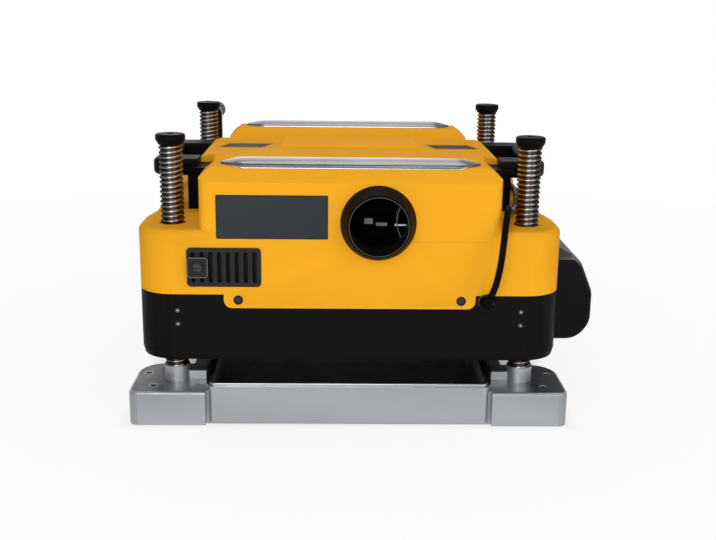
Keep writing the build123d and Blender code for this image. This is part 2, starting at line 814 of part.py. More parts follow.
# Vent grille with the square frame round the brush cap
grille_x = (grille_left + grille_right) / 2
grille_z = (grille_low + grille_high) / 2
slot_pitch = (grille_right - grille_left - 2 * grille_lip) / grille_slots
slot_height = grille_high - grille_low - 4 * grille_lip
with BuildPart() as vent_grille:
    with BuildSketch(outfeed_face):
        with Locations((grille_x, grille_z)):
            RectangleRounded(grille_right - grille_left, grille_high - grille_low, 2 * grille_lip)
    extrude(amount=grille_proud)
    with BuildSketch(outfeed_face):
        with Locations((grille_x, grille_z)):
            Rectangle(grille_right - grille_left - 2 * grille_lip - 2 * shell_gap,
                      grille_high - grille_low - 2 * grille_lip - 2 * shell_gap)
    extrude(amount=-grille_depth)
    with BuildSketch(outfeed_face.offset(grille_proud)):
        with Locations((grille_x, grille_z)):
            with GridLocations(slot_pitch, 0, grille_slots, 1):
                SlotOverall(slot_height, slot_pitch / 2, rotation=90)
    extrude(amount=-grille_depth - grille_proud, mode=Mode.SUBTRACT)
    brush_boss = brush_frame - grille_lip - shell_gap
    for side, reach in ((brush_frame, 2 * grille_proud), (brush_boss, -grille_depth)):
        with BuildSketch(outfeed_face):
            with Locations((brush_x, brush_z)):
                RectangleRounded(2 * side, 2 * side, brush_frame / 3)
        extrude(amount=reach)
    with Locations(outfeed_face.offset(2 * grille_proud)):
        with Locations((brush_x, brush_z)):
            Hole(brush_radius + running_fit, depth=grille_depth + 3 * grille_proud)
hand_in(vent_grille, "vent_grille")

with BuildPart() as brush_cap:
    with BuildSketch(outfeed_face.offset(-2 * grille_depth)):
        with Locations((brush_x, brush_z)):
            Circle(brush_radius)
    extrude(amount=2 * grille_depth + 3 * grille_proud)
    fillet(edges().group_by(Axis.Y)[0], brush_edge)
    with BuildSketch(outfeed_face.offset(3 * grille_proud)):
        with Locations((brush_x, brush_z)):
            Rectangle(2 * brush_radius, brush_slot)
    extrude(amount=-grille_proud, mode=Mode.SUBTRACT)
hand_in(brush_cap, "brush_cap")

# Chip port: a cone on the outfeed face with a spigot in the fan pipe
pipe_bore = pipe_radius - pipe_wall
with BuildPart() as chip_port:
    for stand_off, radius in ((0, port_base_radius), (port_length, port_rim_radius)):
        with BuildSketch(outfeed_face.offset(stand_off)):
            with Locations((port_x, port_z)):
                Circle(radius)
    loft()
    with BuildSketch(outfeed_face.offset(-2 * port_spigot)):
        with Locations((port_x, port_z)):
            Circle(pipe_bore - running_fit)
    extrude(amount=2 * port_spigot)
    with Locations(outfeed_face.offset(port_length)):
        with Locations((port_x, port_z)):
            Hole(port_bore_radius)
    fillet(edges().group_by(Axis.Y)[0], port_edge)
hand_in(chip_port, "chip_port")

# Fan housing: a drum round the impeller with the pipe to the chip port on top of it
with BuildPart() as fan_housing:
    for wall in (0, fan_wall):
        mode = Mode.SUBTRACT if wall else Mode.ADD
        with BuildSketch(Plane.YZ.offset(fan_start + wall)):
            with Locations((motor_y, motor_z)):
                Circle(fan_radius - wall)
        extrude(amount=fan_end - fan_start - 2 * wall, mode=mode)
        with BuildSketch(outfeed_face.offset(-shell_wall - shell_gap)):
            with Locations((port_x, port_z)):
                Circle(pipe_radius - (pipe_wall if wall else 0))
        extrude(amount=-pipe_length + wall, mode=mode)
    with BuildSketch(Plane.YZ.offset(fan_start)):
        with Locations((motor_y, motor_z)):
            Circle(fan_inlet_radius)
    extrude(amount=fan_end - fan_start, mode=Mode.SUBTRACT)
hand_in(fan_housing, "fan_housing")

# Screws: two sunk in the tab and two pairs on the skirt
with BuildPart() as housing_screws:
    with BuildSketch(outfeed_face.offset(-screw_recess)):
        with Locations((-screw_x, screw_z), (screw_x, screw_z)):
            Circle(screw_radius - face_gap)
    extrude(amount=screw_head_height)
    with BuildSketch(outfeed_face.offset(-screw_recess)):
        with Locations((-screw_x, screw_z), (screw_x, screw_z)):
            Circle(screw_shank_radius)
    extrude(amount=screw_recess - shell_wall)
    with BuildSketch(outfeed_face):
        with Locations(*side_screws):
            Circle(side_screw_radius)
    extrude(amount=side_screw_height)
    with BuildSketch(outfeed_face):
        with Locations(*side_screws):
            Circle(screw_shank_radius)
    extrude(amount=-shell_wall)
hand_in(housing_screws, "housing_screws")

# Head frame: two side plates tied by cross bars, with an ear round each post and cradles for motor and fan
gear_centres = gear_radius + pinion_radius + gear_mesh_gap
gear_first_z = cutter_z + math.sqrt(gear_centres ** 2 - (gear_first_y - cutter_y) ** 2)
# The second gear's driver bears on the outside of the feed chain's upper run
gear_second_z = roller_z + feed_sprocket_radius + 2 * chain_gap + chain_thickness + feed_driver_radius
gear_second_y = gear_first_y - math.sqrt(gear_centres ** 2 - (gear_first_z - gear_second_z) ** 2)
with BuildPart() as head_frame:
    plate_middle = (side_plate_inner + side_plate_outer) / 2
    with Locations((-plate_middle, 0, side_plate_bottom), (plate_middle, 0, side_plate_bottom)):
        Box(side_plate_thickness, 2 * side_plate_half_length, side_plate_top - side_plate_bottom,
            align=(Align.CENTER, Align.CENTER, Align.MIN))
    with Locations((-plate_middle, 0, ear_bottom), (plate_middle, 0, ear_bottom)):
        Box(side_plate_thickness, 2 * (post_y + nut_sleeve_radius), ear_thickness,
            align=(Align.CENTER, Align.CENTER, Align.MIN))
    with BuildSketch(Plane.XY.offset(ear_bottom)):
        with GridLocations(2 * post_x, 2 * post_y, 2, 2):
            Circle(ear_radius)
        with GridLocations(post_x + plate_middle, 2 * post_y, 2, 2):
            Rectangle(post_x - plate_middle, 2 * nut_sleeve_radius)
    extrude(amount=ear_thickness)
    with Locations((0, -bar_y, bar_z), (0, bar_y, bar_z)):
        Box(2 * side_plate_inner, bar_width, bar_width)
    with Locations(*[(x, -bar_y - bar_width / 2, bar_z) for x in cradle_x]):
        Box(cradle_thickness, cradle_length, motor_z - bar_z - motor_radius / 2,
            align=(Align.CENTER, Align.MIN, Align.MIN))
    with BuildSketch(Plane.YZ.offset(-side_plate_inner)):
        with Locations((motor_y, motor_z)):
            Circle(motor_radius + running_fit)
    extrude(amount=side_plate_inner + motor_end, mode=Mode.SUBTRACT)
    with BuildSketch(Plane.YZ.offset(motor_end)):
        with Locations((motor_y, motor_z)):
            Circle(fan_radius + running_fit)
    extrude(amount=side_plate_inner - motor_end, mode=Mode.SUBTRACT)
    with BuildSketch(Plane.YZ.offset(-side_plate_outer)):
        with Locations((cutter_y, cutter_z)):
            Circle(bearing_radius + running_fit)
        with Locations((-roller_y, roller_z), (roller_y, roller_z)):
            Circle(bush_radius + running_fit)
    extrude(amount=2 * side_plate_outer, mode=Mode.SUBTRACT)
    with BuildSketch(Plane.YZ.offset(side_plate_inner)):
        with Locations((motor_y, motor_z)):
            Circle(motor_bearing_radius + running_fit)
    extrude(amount=side_plate_thickness, mode=Mode.SUBTRACT)
    with Locations(Plane.XY.offset(ear_bottom + ear_thickness)):
        with GridLocations(2 * post_x, 2 * post_y, 2, 2):
            Hole(nut_sleeve_radius + running_fit, depth=ear_thickness)
hand_in(head_frame, "head_frame")

# Motor: a drum with a bearing seat in each end, the stator ring inside it, and the rotor on its shaft
with BuildPart() as motor_housing:
    with BuildSketch(Plane.YZ.offset(motor_start)):
        with Locations((motor_y, motor_z)):
            Circle(motor_radius)
    extrude(amount=motor_end - motor_start)
    with BuildSketch(Plane.YZ.offset(motor_start + 2 * motor_wall)):
        with Locations((motor_y, motor_z)):
            Circle(motor_radius - motor_wall)
    extrude(amount=motor_end - motor_start - 4 * motor_wall, mode=Mode.SUBTRACT)
    with BuildSketch(Plane.YZ.offset(motor_start)):
        with Locations((motor_y, motor_z)):
            Circle(motor_bearing_radius + running_fit)
    extrude(amount=motor_end - motor_start, mode=Mode.SUBTRACT)
hand_in(motor_housing, "motor_housing")

with BuildPart() as stator:
    with BuildSketch(Plane.YZ.offset(stack_start - motor_wall)):
        with Locations((motor_y, motor_z)):
            Circle(motor_radius - motor_wall - running_fit)
            Circle(rotor_radius + rotor_gap, mode=Mode.SUBTRACT)
    extrude(amount=stack_length + 2 * motor_wall)
hand_in(stator, "stator")

with BuildPart() as rotor:
    with BuildSketch(Plane.YZ.offset(motor_start)):
        with Locations((motor_y, motor_z)):
            Circle(rotor_shaft_radius)
    extrude(amount=belt_start + belt_width - motor_start)
    for start, length, radius in (
        (stack_start, stack_length, rotor_radius),
        (stack_start - commutator_length, commutator_length / 2, commutator_radius),
        (belt_start, belt_width, motor_pulley_radius),
    ):
        with BuildSketch(Plane.YZ.offset(start)):
            with Locations((motor_y, motor_z)):
                Circle(radius)
        extrude(amount=length)
hand_in(rotor, "rotor")

with BuildPart() as impeller:
    with BuildSketch(Plane.YZ.offset(fan_start + fan_wall + blade_gap)):
        with Locations((motor_y, motor_z)):
            Circle(impeller_radius)
    extrude(amount=blade_thickness)
    with BuildSketch(Plane.YZ.offset(fan_start + fan_wall + blade_gap)):
        with Locations((motor_y, motor_z)):
            Circle(2 * rotor_shaft_radius)
            with PolarLocations((impeller_radius + rotor_shaft_radius) / 2, impeller_blades):
                Rectangle(impeller_radius - rotor_shaft_radius, blade_thickness)
    extrude(amount=blade_width)
    with BuildSketch(Plane.YZ.offset(fan_start)):
        with Locations((motor_y, motor_z)):
            Circle(rotor_shaft_radius + running_fit)
    extrude(amount=fan_end - fan_start, mode=Mode.SUBTRACT)
hand_in(impeller, "impeller")

# Bearings: two for the cutterhead, three for the rotor
bearing_seats = [
    (-side_plate_outer, cutter_y, cutter_z, side_plate_thickness, bearing_radius, cutter_shaft_radius),
    (side_plate_inner, cutter_y, cutter_z, side_plate_thickness, bearing_radius, cutter_shaft_radius),
    (side_plate_inner, motor_y, motor_z, side_plate_thickness, motor_bearing_radius, rotor_shaft_radius),
    (motor_start, motor_y, motor_z, 2 * motor_wall, motor_bearing_radius, rotor_shaft_radius),
    (motor_end - 2 * motor_wall, motor_y, motor_z, 2 * motor_wall, motor_bearing_radius, rotor_shaft_radius),
]
with BuildPart() as ball_bearings:
    for start, y, z, width, radius, bore in bearing_seats:
        with BuildSketch(Plane.YZ.offset(start)):
            with Locations((y, z)):
                Circle(radius)
                Circle(bore + running_fit, mode=Mode.SUBTRACT)
        extrude(amount=width)
hand_in(ball_bearings, "ball_bearings")

with BuildPart() as roller_bushes:
    for start in (-side_plate_outer, side_plate_inner):
        with BuildSketch(Plane.YZ.offset(start)):
            with Locations((-roller_y, roller_z), (roller_y, roller_z)):
                Circle(bush_radius)
                Circle(roller_shaft_radius + running_fit, mode=Mode.SUBTRACT)
        extrude(amount=side_plate_thickness)
hand_in(roller_bushes, "roller_bushes")

# Cutterhead with three knives, each held by a clamp bar in the same slot
slot_floor = cutter_radius - knife_height
slot_width = knife_thickness + clamp_thickness + 2 * running_fit
with BuildPart() as cutterhead:
    for start, length, radius in (
        (-cutter_length / 2, cutter_length, cutter_body_radius),
        (-side_plate_outer - face_gap, side_plate_outer + head_half_width, cutter_shaft_radius),
        (head_half_width - 2 * face_gap, pinion_reach, pinion_radius),
    ):
        with BuildSketch(Plane.YZ.offset(start)):
            with Locations((cutter_y, cutter_z)):
                Circle(radius)
        extrude(amount=length)
    with BuildSketch(Plane.YZ.offset(-cutter_length / 2)):
        with Locations((cutter_y, cutter_z)):
            with PolarLocations((slot_floor + cutter_radius) / 2, knife_count):
                Rectangle(cutter_radius - slot_floor + running_fit, slot_width)
    extrude(amount=cutter_length, mode=Mode.SUBTRACT)
hand_in(cutterhead, "cutterhead")

with BuildPart() as knives:
    with BuildSketch(Plane.YZ.offset(-cutter_length / 2)):
        with Locations((cutter_y, cutter_z)):
            with PolarLocations(0, knife_count):
                with Locations(((slot_floor + cutter_radius) / 2, -clamp_thickness / 2)):
                    Rectangle(knife_height, knife_thickness)
    extrude(amount=cutter_length)
hand_in(knives, "knives")

with BuildPart() as knife_clamps:
    with BuildSketch(Plane.YZ.offset(-cutter_length / 2)):
        with Locations((cutter_y, cutter_z)):
            with PolarLocations(0, knife_count):
                with Locations((slot_floor + clamp_height / 2, knife_thickness / 2)):
                    Rectangle(clamp_height, clamp_thickness)
    extrude(amount=cutter_length)
hand_in(knife_clamps, "knife_clamps")

with BuildPart() as cutter_pulley:
    with BuildSketch(Plane.YZ.offset(belt_start)):
        with Locations((cutter_y, cutter_z)):
            Circle(cutter_pulley_radius)
            Circle(cutter_shaft_radius + running_fit, mode=Mode.SUBTRACT)
    extrude(amount=belt_width)
hand_in(cutter_pulley, "cutter_pulley")

# Feed rollers with their sprockets on the drive side
sprocket_start = head_half_width + gear_plate_thickness + gear_stack
for name, side in (("outfeed", -1), ("infeed", 1)):
    with BuildPart() as roller:
        for start, length, radius in (
            (-roller_length / 2, roller_length, roller_radius),
            (-side_plate_outer - face_gap, side_plate_outer + sprocket_start + chain_width + roller_shaft_end,
             roller_shaft_radius),
        ):
            with BuildSketch(Plane.YZ.offset(start)):
                with Locations((side * roller_y, roller_z)):
                    Circle(radius)
            extrude(amount=length)
    hand_in(roller, f"{name}_roller")
    with BuildPart() as sprocket:
        with BuildSketch(Plane.YZ.offset(sprocket_start)):
            with Locations((side * roller_y, roller_z)):
                Circle(feed_sprocket_radius)
                Circle(roller_shaft_radius + running_fit, mode=Mode.SUBTRACT)
        extrude(amount=chain_width)
    hand_in(sprocket, f"{name}_sprocket")

# Reduction gears on axles in the gear plate
first_start = head_half_width + gear_plate_thickness + gear_side_gap
second_start = first_start + gear_width + gear_side_gap
with BuildPart() as gear_first:
    for start, end, radius in (
        (head_half_width + face_gap, first_start, gear_axle_radius),
        (first_start, first_start + gear_width, gear_radius),
        (first_start + gear_width, second_start + gear_width, pinion_radius),
    ):
        with BuildSketch(Plane.YZ.offset(start)):
            with Locations((gear_first_y, gear_first_z)):
                Circle(radius)
        extrude(amount=end - start)
hand_in(gear_first, "gear_first")

with BuildPart() as gear_second:
    for start, end, radius in (
        (head_half_width + face_gap, second_start, gear_axle_radius),
        (second_start, second_start + gear_width, gear_radius),
        (second_start + gear_width, sprocket_start + chain_width, feed_driver_radius),
    ):
        with BuildSketch(Plane.YZ.offset(start)):
            with Locations((gear_second_y, gear_second_z)):
                Circle(radius)
        extrude(amount=end - start)
hand_in(gear_second, "gear_second")

with BuildPart() as gear_plate:
    with BuildSketch(Plane.YZ.offset(head_half_width)):
        with Locations((0, (gear_plate_bottom + gear_plate_top) / 2)):
            RectangleRounded(2 * gear_plate_half_length, gear_plate_top - gear_plate_bottom, gear_plate_corner)
        with Locations((cutter_y, cutter_z)):
            Circle(cutter_shaft_radius + shell_gap, mode=Mode.SUBTRACT)
        with Locations((-roller_y, roller_z), (roller_y, roller_z)):
            Circle(roller_shaft_radius + shell_gap, mode=Mode.SUBTRACT)
        with Locations((gear_first_y, gear_first_z), (gear_second_y, gear_second_z)):
            Circle(gear_axle_radius + running_fit, mode=Mode.SUBTRACT)
    extrude(amount=gear_plate_thickness)
hand_in(gear_plate, "gear_plate")

# Drive cover: a box on the drive side with a sloping top that is bevelled at both ends
def cover_block(inset):
    """The cover's outer form, or with an inset the hollow inside it."""
    half_length = cover_half_length - inset
    with BuildPart() as block:
        with BuildSketch(Plane.XZ):
            with BuildLine():
                Polyline(
                    (head_half_width, cover_bottom + inset),
                    (head_half_width, cover_top - inset),
                    (cover_brow_x - inset / 2, cover_brow_z - inset),
                    (cover_reach - inset, cover_cheek_z - inset / 2),
                    (cover_reach - inset, cover_jaw_z + inset / 2),
                    (cover_toe_x - inset / 2, cover_bottom + inset),
                    close=True,
                )
            make_face()
            fillet(vertices().filter_by(lambda v: v.X > head_half_width + 1), cover_corner - inset)
        extrude(amount=half_length, both=True)
        if not inset:
            ends = edges().filter_by(lambda e: abs(e.center().Y) > half_length - 1)
            fillet(ends.filter_by(lambda e: e.center().X > head_half_width + 1), cover_edge)
        with BuildSketch(Plane.YZ.offset(head_half_width)):
            for side in (-1, 1):
                with BuildLine():
                    Polyline(
                        (side * half_length, cover_brow_z - inset),
                        (side * half_length, cover_top - inset),
                        (side * (half_length - cover_bevel_run), cover_top - inset),
                        close=True,
                    )
                make_face()
        extrude(amount=cover_reach - head_half_width, mode=Mode.SUBTRACT)
    return block.part


with BuildPart() as drive_cover:
    add(cover_block(0))
    add(cover_block(cover_wall), mode=Mode.SUBTRACT)
hand_in(drive_cover, "drive_cover")

# Belt and chains, each a closed loop round its wheels
def loop_round(wheels, gap, thickness, start, width):
    """A closed band round wheels given as (y, z, radius), from start along X."""
    with BuildPart() as band:
        for swell in (gap + thickness, gap):
            with BuildSketch(Plane.YZ.offset(start)):
                for y, z, radius in wheels:
                    with Locations((y, z)):
                        Circle(radius + swell)
                make_hull()
            extrude(amount=width, mode=Mode.ADD if swell > gap else Mode.SUBTRACT)
    return band


belt_wheels = [(motor_y, motor_z, motor_pulley_radius), (cutter_y, cutter_z, cutter_pulley_radius)]
band_width = belt_width - 2 * belt_margin
drive_belt = loop_round(belt_wheels, chain_gap, belt_thickness, belt_start + belt_margin, band_width)
hand_in(drive_belt, "drive_belt")

feed_wheels = [(-roller_y, roller_z, feed_sprocket_radius), (roller_y, roller_z, feed_sprocket_radius)]
feed_width = chain_width - 2 * belt_margin
feed_chain = loop_round(feed_wheels, chain_gap, chain_thickness, sprocket_start + belt_margin, feed_width)
hand_in(feed_chain, "feed_chain")

with BuildPart() as lift_chain:
    with BuildSketch(Plane.XY.offset(lift_chain_bottom)):
        for swell, mode in ((chain_gap + chain_thickness, Mode.ADD), (chain_gap, Mode.SUBTRACT)):
            reach = nut_sleeve_radius + swell
            RectangleRounded(2 * (post_x + reach), 2 * (post_y + reach), reach, mode=mode)
    extrude(amount=chain_width)
hand_in(lift_chain, "lift_chain")

# Lift nuts: flanged sleeves that turn in the ears, the infeed left one with the ring that the crank drives
ring_top = crank_z - crank_pinion_radius - gear_mesh_gap
for name, (x, y) in posts.items():
    with BuildPart() as nut:
        for low, high, radius in (
            (ear_bottom - shell_gap - nut_flange_height, ear_bottom - shell_gap, nut_flange_radius),
            (ear_bottom - shell_gap, lift_chain_bottom + chain_width + nut_top_margin, nut_sleeve_radius),
        ):
            with BuildSketch(Plane.XY.offset(low)):
                with Locations((x, y)):
                    Circle(radius)
            extrude(amount=high - low)
        if name == "infeed_left":
            with BuildSketch(Plane.XY.offset(lift_chain_bottom + chain_width)):
                with Locations((x, y)):
                    Circle(nut_neck_radius)
            extrude(amount=ring_top - lift_chain_bottom - chain_width)
            with BuildSketch(Plane.XY.offset(ring_top - drive_ring_height)):
                with Locations((x, y)):
                    Circle(drive_ring_radius)
            extrude(amount=drive_ring_height)
        with BuildSketch(Plane.XY.offset(ear_bottom - 2 * nut_flange_height)):
            with Locations((x, y)):
                Circle(post_radius + nut_bore_clearance)
        extrude(amount=ring_top, mode=Mode.SUBTRACT)
    hand_in(nut, f"nut_{name}")

# Crank: pinion and shaft through the infeed wall, hub, upright arm and the pin for the grip
pin_z = crank_z + crank_arm_length
arm_start = head_half_length + crank_stand_off
hub_end = arm_start + crank_arm_thickness + crank_hub_proud
pin_end = arm_start + crank_arm_thickness + crank_grip_length + 2 * face_gap
pinion_start = post_y + post_radius + crank_pinion_gap
with BuildPart() as crank:
    for start, end, z, radius in (
        (pinion_start, pinion_start + crank_pinion_width, crank_z, crank_pinion_radius),
        (pinion_start, arm_start, crank_z, crank_shaft_radius),
        (head_half_length + face_gap, hub_end, crank_z, crank_hub_radius),
        (arm_start, pin_end, pin_z, crank_pin_radius),
        (pin_end, pin_end + crank_pin_head, pin_z, crank_pin_radius + crank_pin_head),
    ):
        with BuildSketch(Plane.XZ.offset(-start)):
            with Locations((crank_x, z)):
                Circle(radius)
        extrude(amount=start - end)
    with BuildSketch(Plane.XZ.offset(-arm_start)):
        with Locations((crank_x, (crank_z + pin_z) / 2)):
            SlotCenterToCenter(crank_arm_length, crank_arm_width, rotation=90)
    extrude(amount=-crank_arm_thickness)
hand_in(crank, "crank")

grip_start = arm_start + crank_arm_thickness + face_gap
with BuildPart() as crank_grip:
    with BuildSketch(Plane.XZ.offset(-grip_start)):
        with Locations((crank_x, pin_z)):
            Circle(crank_grip_radius)
    extrude(amount=-crank_grip_length)
    fillet(edges().filter_by(GeomType.CIRCLE), crank_grip_edge)
    with BuildSketch(Plane.XZ.offset(-grip_start)):
        with Locations((crank_x, pin_z)):
            Circle(crank_pin_radius + running_fit)
    extrude(amount=-crank_grip_length, mode=Mode.SUBTRACT)
hand_in(crank_grip, "crank_grip")

# Control panel on the infeed face with a rocking switch paddle and the breaker button
paddle_pivot_y = head_half_length + panel_depth - paddle_pivot_depth
with BuildPart() as control_panel:
    with BuildSketch(infeed_face):
        with Locations((-panel_x, panel_z)):
            RectangleRounded(panel_width, panel_height, panel_corner)
    extrude(amount=panel_depth)
    fillet(edges().group_by(Axis.Y)[-1], panel_edge)
    with BuildSketch(infeed_face.offset(panel_depth)):
        with Locations((-paddle_x, panel_z)):
            Rectangle(paddle_width + 2 * face_gap, paddle_height + 2 * paddle_end_gap)
    extrude(amount=-paddle_pocket, mode=Mode.SUBTRACT)
    with Locations(infeed_face.offset(panel_depth)):
        with Locations((-button_x, panel_z)):
            Hole(button_radius + running_fit, depth=paddle_pocket + button_travel / 2)
    with BuildSketch(Plane.YZ.offset(paddle_x - paddle_width / 2 - paddle_pin_reach)):
        with Locations((paddle_pivot_y, panel_z)):
            Circle(paddle_pin_radius + running_fit)
    extrude(amount=paddle_width + 2 * paddle_pin_reach, mode=Mode.SUBTRACT)
hand_in(control_panel, "control_panel")

with BuildPart() as switch_paddle:
    with Locations((paddle_x, paddle_pivot_y, panel_z)):
        Box(paddle_width, paddle_thickness, paddle_height)
    fillet(edges().filter_by(Axis.X).group_by(Axis.Y)[-1], paddle_edge)
    with BuildSketch(Plane.YZ.offset(paddle_x - paddle_width / 2 - paddle_pin_reach + face_gap)):
        with Locations((paddle_pivot_y, panel_z)):
            Circle(paddle_pin_radius)
    extrude(amount=paddle_width + 2 * paddle_pin_reach - 2 * face_gap)
hand_in(switch_paddle, "switch_paddle")

with BuildPart() as breaker_button:
    with BuildSketch(infeed_face.offset(panel_depth - paddle_pocket + button_travel)):
        with Locations((-button_x, panel_z)):
            Circle(button_radius)
    extrude(amount=paddle_pocket + face_gap)
    fillet(edges().group_by(Axis.Y)[-1], button_edge)
hand_in(breaker_button, "breaker_button")

# Depth stop knob: six shallow lobes on a short shaft in the skirt
with BuildPart() as stop_knob:
    with BuildSketch(infeed_face.offset(face_gap)):
        with Locations((-stop_x, stop_z)):
            Circle(stop_radius)
            with PolarLocations(stop_radius + stop_lobe / 2, stop_lobes):
                Circle(stop_lobe, mode=Mode.SUBTRACT)
    extrude(amount=stop_length)
    fillet(edges().group_by(Axis.Y)[-1], stop_edge)
    with BuildSketch(infeed_face.offset(face_gap)):
        with Locations((-stop_x, stop_z)):
            Circle(stop_shaft_radius)
    extrude(amount=-shell_wall - 2 * face_gap)
hand_in(stop_knob, "stop_knob")

# Depth scale on the head and its pointer, a strip that stands up from the base
with BuildPart() as depth_scale:
    with BuildSketch(infeed_face):
        with Locations((-scale_x, (scale_low + scale_high) / 2)):
            Rectangle(scale_width, scale_high - scale_low)
    extrude(amount=scale_thickness)
hand_in(depth_scale, "depth_scale")

pointer_front = pad_half_length + pointer_thickness
with BuildPart() as depth_pointer:
    with BuildSketch(Plane.YZ.offset(scale_x - pointer_width / 2)):
        with BuildLine():
            Polyline(
                (pad_half_length, pointer_foot),
                (pointer_front, pointer_foot),
                (pointer_front, pointer_tip),
                (pad_half_length, pointer_tip + pointer_thickness),
                close=True,
            )
        make_face()
    extrude(amount=pointer_width)
hand_in(depth_pointer, "depth_pointer")

# Chip deflector: a bent sheet over the cutterhead between the side plates
with BuildPart() as chip_deflector:
    with BuildSketch(Plane.YZ.offset(-side_plate_inner)):
        with BuildLine():
            Polyline(
                (cutter_y - deflector_half, deflector_low),
                (cutter_y - deflector_half, deflector_high - deflector_bend),
                (cutter_y - deflector_half + deflector_bend, deflector_high),
                (cutter_y + deflector_half, deflector_high),
                (cutter_y + deflector_half, deflector_high - deflector_thickness),
                (cutter_y - deflector_half + deflector_bend + deflector_thickness / 2,
                 deflector_high - deflector_thickness),
                (cutter_y - deflector_half + deflector_thickness,
                 deflector_high - deflector_bend - deflector_thickness / 2),
                (cutter_y - deflector_half + deflector_thickness, deflector_low),
                close=True,
            )
        make_face()
    extrude(amount=2 * side_plate_inner)
hand_in(chip_deflector, "chip_deflector")

# Cord gland: a boss on the skirt with a nozzle that points the cord upwards
gland_root = Vector(gland_x, -head_half_length - gland_height + gland_sink, gland_z)
gland_way = Vector(*gland_direction).normalized()
gland_end = gland_root + gland_way * gland_nozzle
with BuildPart() as cord_gland:
    with BuildSketch(outfeed_face):
        with Locations((gland_x, gland_z)):
            Circle(gland_radius)
    extrude(amount=gland_height)
    with BuildSketch(outfeed_face):
        with Locations((gland_x, gland_z)):
            Circle(gland_shank_radius)
    extrude(amount=-shell_wall)
    for origin, radius in ((gland_root, gland_radius - gland_sink), (gland_end, gland_tip_radius)):
        with BuildSketch(Plane(origin, z_dir=gland_way)):
            Circle(radius)
    loft()
hand_in(cord_gland, "cord_gland")

# Cord: up the outfeed face, back along the drive side shoulder, over the infeed edge and down to the coil
cord_upper_points = [
    tuple(gland_end),
    tuple(gland_end + gland_way * cord_lead),
    (175.5, -265.2, 200.0),
    (178.0, -266.2, 218.0),
    (180.0, -263.5, 236.0),
    (182.3, -256.0, 252.5),
    (185.5, -243.5, 265.0),
    (189.5, -226.5, 271.0),
    (193.3, -207.0, 270.6),
    (196.4, -186.0, 265.0),
    (201.6, -163.0, 257.8),
    (210.0, -137.0, 252.8),
    (217.8, -109.0, 251.3),
    (224.6, -79.0, 251.5),
    (230.2, -47.0, 251.3),
    (235.0, -13.0, 251.5),
    (239.0, 22.0, 251.3),
    (239.5, 56.0, 251.5),
    (236.0, 88.0, 251.3),
    (228.5, 117.0, 251.4),
    (217.5, 142.0, 251.7),
    (203.5, 164.0, 253.6),
    (198.0, 183.5, 259.8),
]
cord_drop_points = [
    (198.0, 183.5, 259.8),
    (192.5, 203.0, 266.0),
    (191.4, 221.0, 269.8),
    (191.2, 239.0, 266.4),
    (191.2, 254.2, 256.2),
    (191.2, 264.4, 241.0),
    (191.4, 268.0, 223.0),
    (191.2, 267.2, 200.0),
    (190.5, 264.6, 172.0),
    (189.6, 262.3, 142.0),
    (188.8, 261.0, 113.0),
    (188.0, 260.8, 86.0),
    (186.8, 261.6, 60.0),
    (185.2, 266.2, 38.0),
    (183.2, 276.0, 20.5),
    (181.0, 290.5, 9.4),
    (179.2, 308.0, 4.7),
    (178.0, 326.0, 4.3),
    (178.0, 344.0, 4.3),
]


def cord_tube(points, name):
    """Sweep the cord along straight runs joined by arcs as large as the runs allow, and print the radii."""
    radii = []
    for before, here, after in zip(points, points[1:], points[2:]):
        first = Vector(*here) - Vector(*before)
        second = Vector(*after) - Vector(*here)
        half_turn = math.radians(first.get_angle(second)) / 2
        radii.append(0.45 * min(first.length, second.length) / math.tan(half_turn))
    with BuildPart() as tube:
        with BuildLine() as route:
            FilletPolyline(*points, radius=radii)
        with BuildSketch(Plane(points[0], z_dir=Vector(*points[1]) - Vector(*points[0]))):
            Circle(cord_diameter / 2)
        sweep(path=route.wires()[0])
    length = route.wires()[0].length
    section = math.pi * cord_diameter ** 2 / 4
    print(name, "length", round(length, 1), "volume ratio", round(tube.part.volume / (section * length), 4))
    print(name, "radii", [round(radius) for radius in radii])
    return tube


cord_upper = cord_tube(cord_upper_points, "cord_upper")
hand_in(cord_upper, "cord_upper")
cord_drop = cord_tube(cord_drop_points, "cord_drop")
hand_in(cord_drop, "cord_drop")

# Coil of the spare cord behind the base: it spirals in on the floor, climbs a layer and spirals out
coil_start = Vector(*cord_drop_points[-1])
coil_axis = Vector(coil_start.X - coil_radius, coil_start.Y + cord_diameter, coil_start.Z)
coil_in = 2 * math.pi * coil_turns_in
coil_climb = math.pi
coil_total = coil_in + coil_climb + 2 * math.pi * coil_turns_out
coil_turn_back = coil_in + coil_climb / 2


def coil_point(angle):
    """The cord's middle line at an angle along the coil."""
    wound = min(angle, 2 * coil_turn_back - angle)
    radius = coil_radius - coil_step * wound / (2 * math.pi)
    share = min(max((angle - coil_in) / coil_climb, 0), 1)
    rise = coil_step * share * share * (3 - 2 * share)
    return coil_axis + Vector(radius * math.cos(angle), radius * math.sin(angle), rise)


def coil_way(angle):
    """The direction of the coil's middle line at an angle."""
    small = 0.001
    return (coil_point(angle + small) - coil_point(angle - small)).normalized()


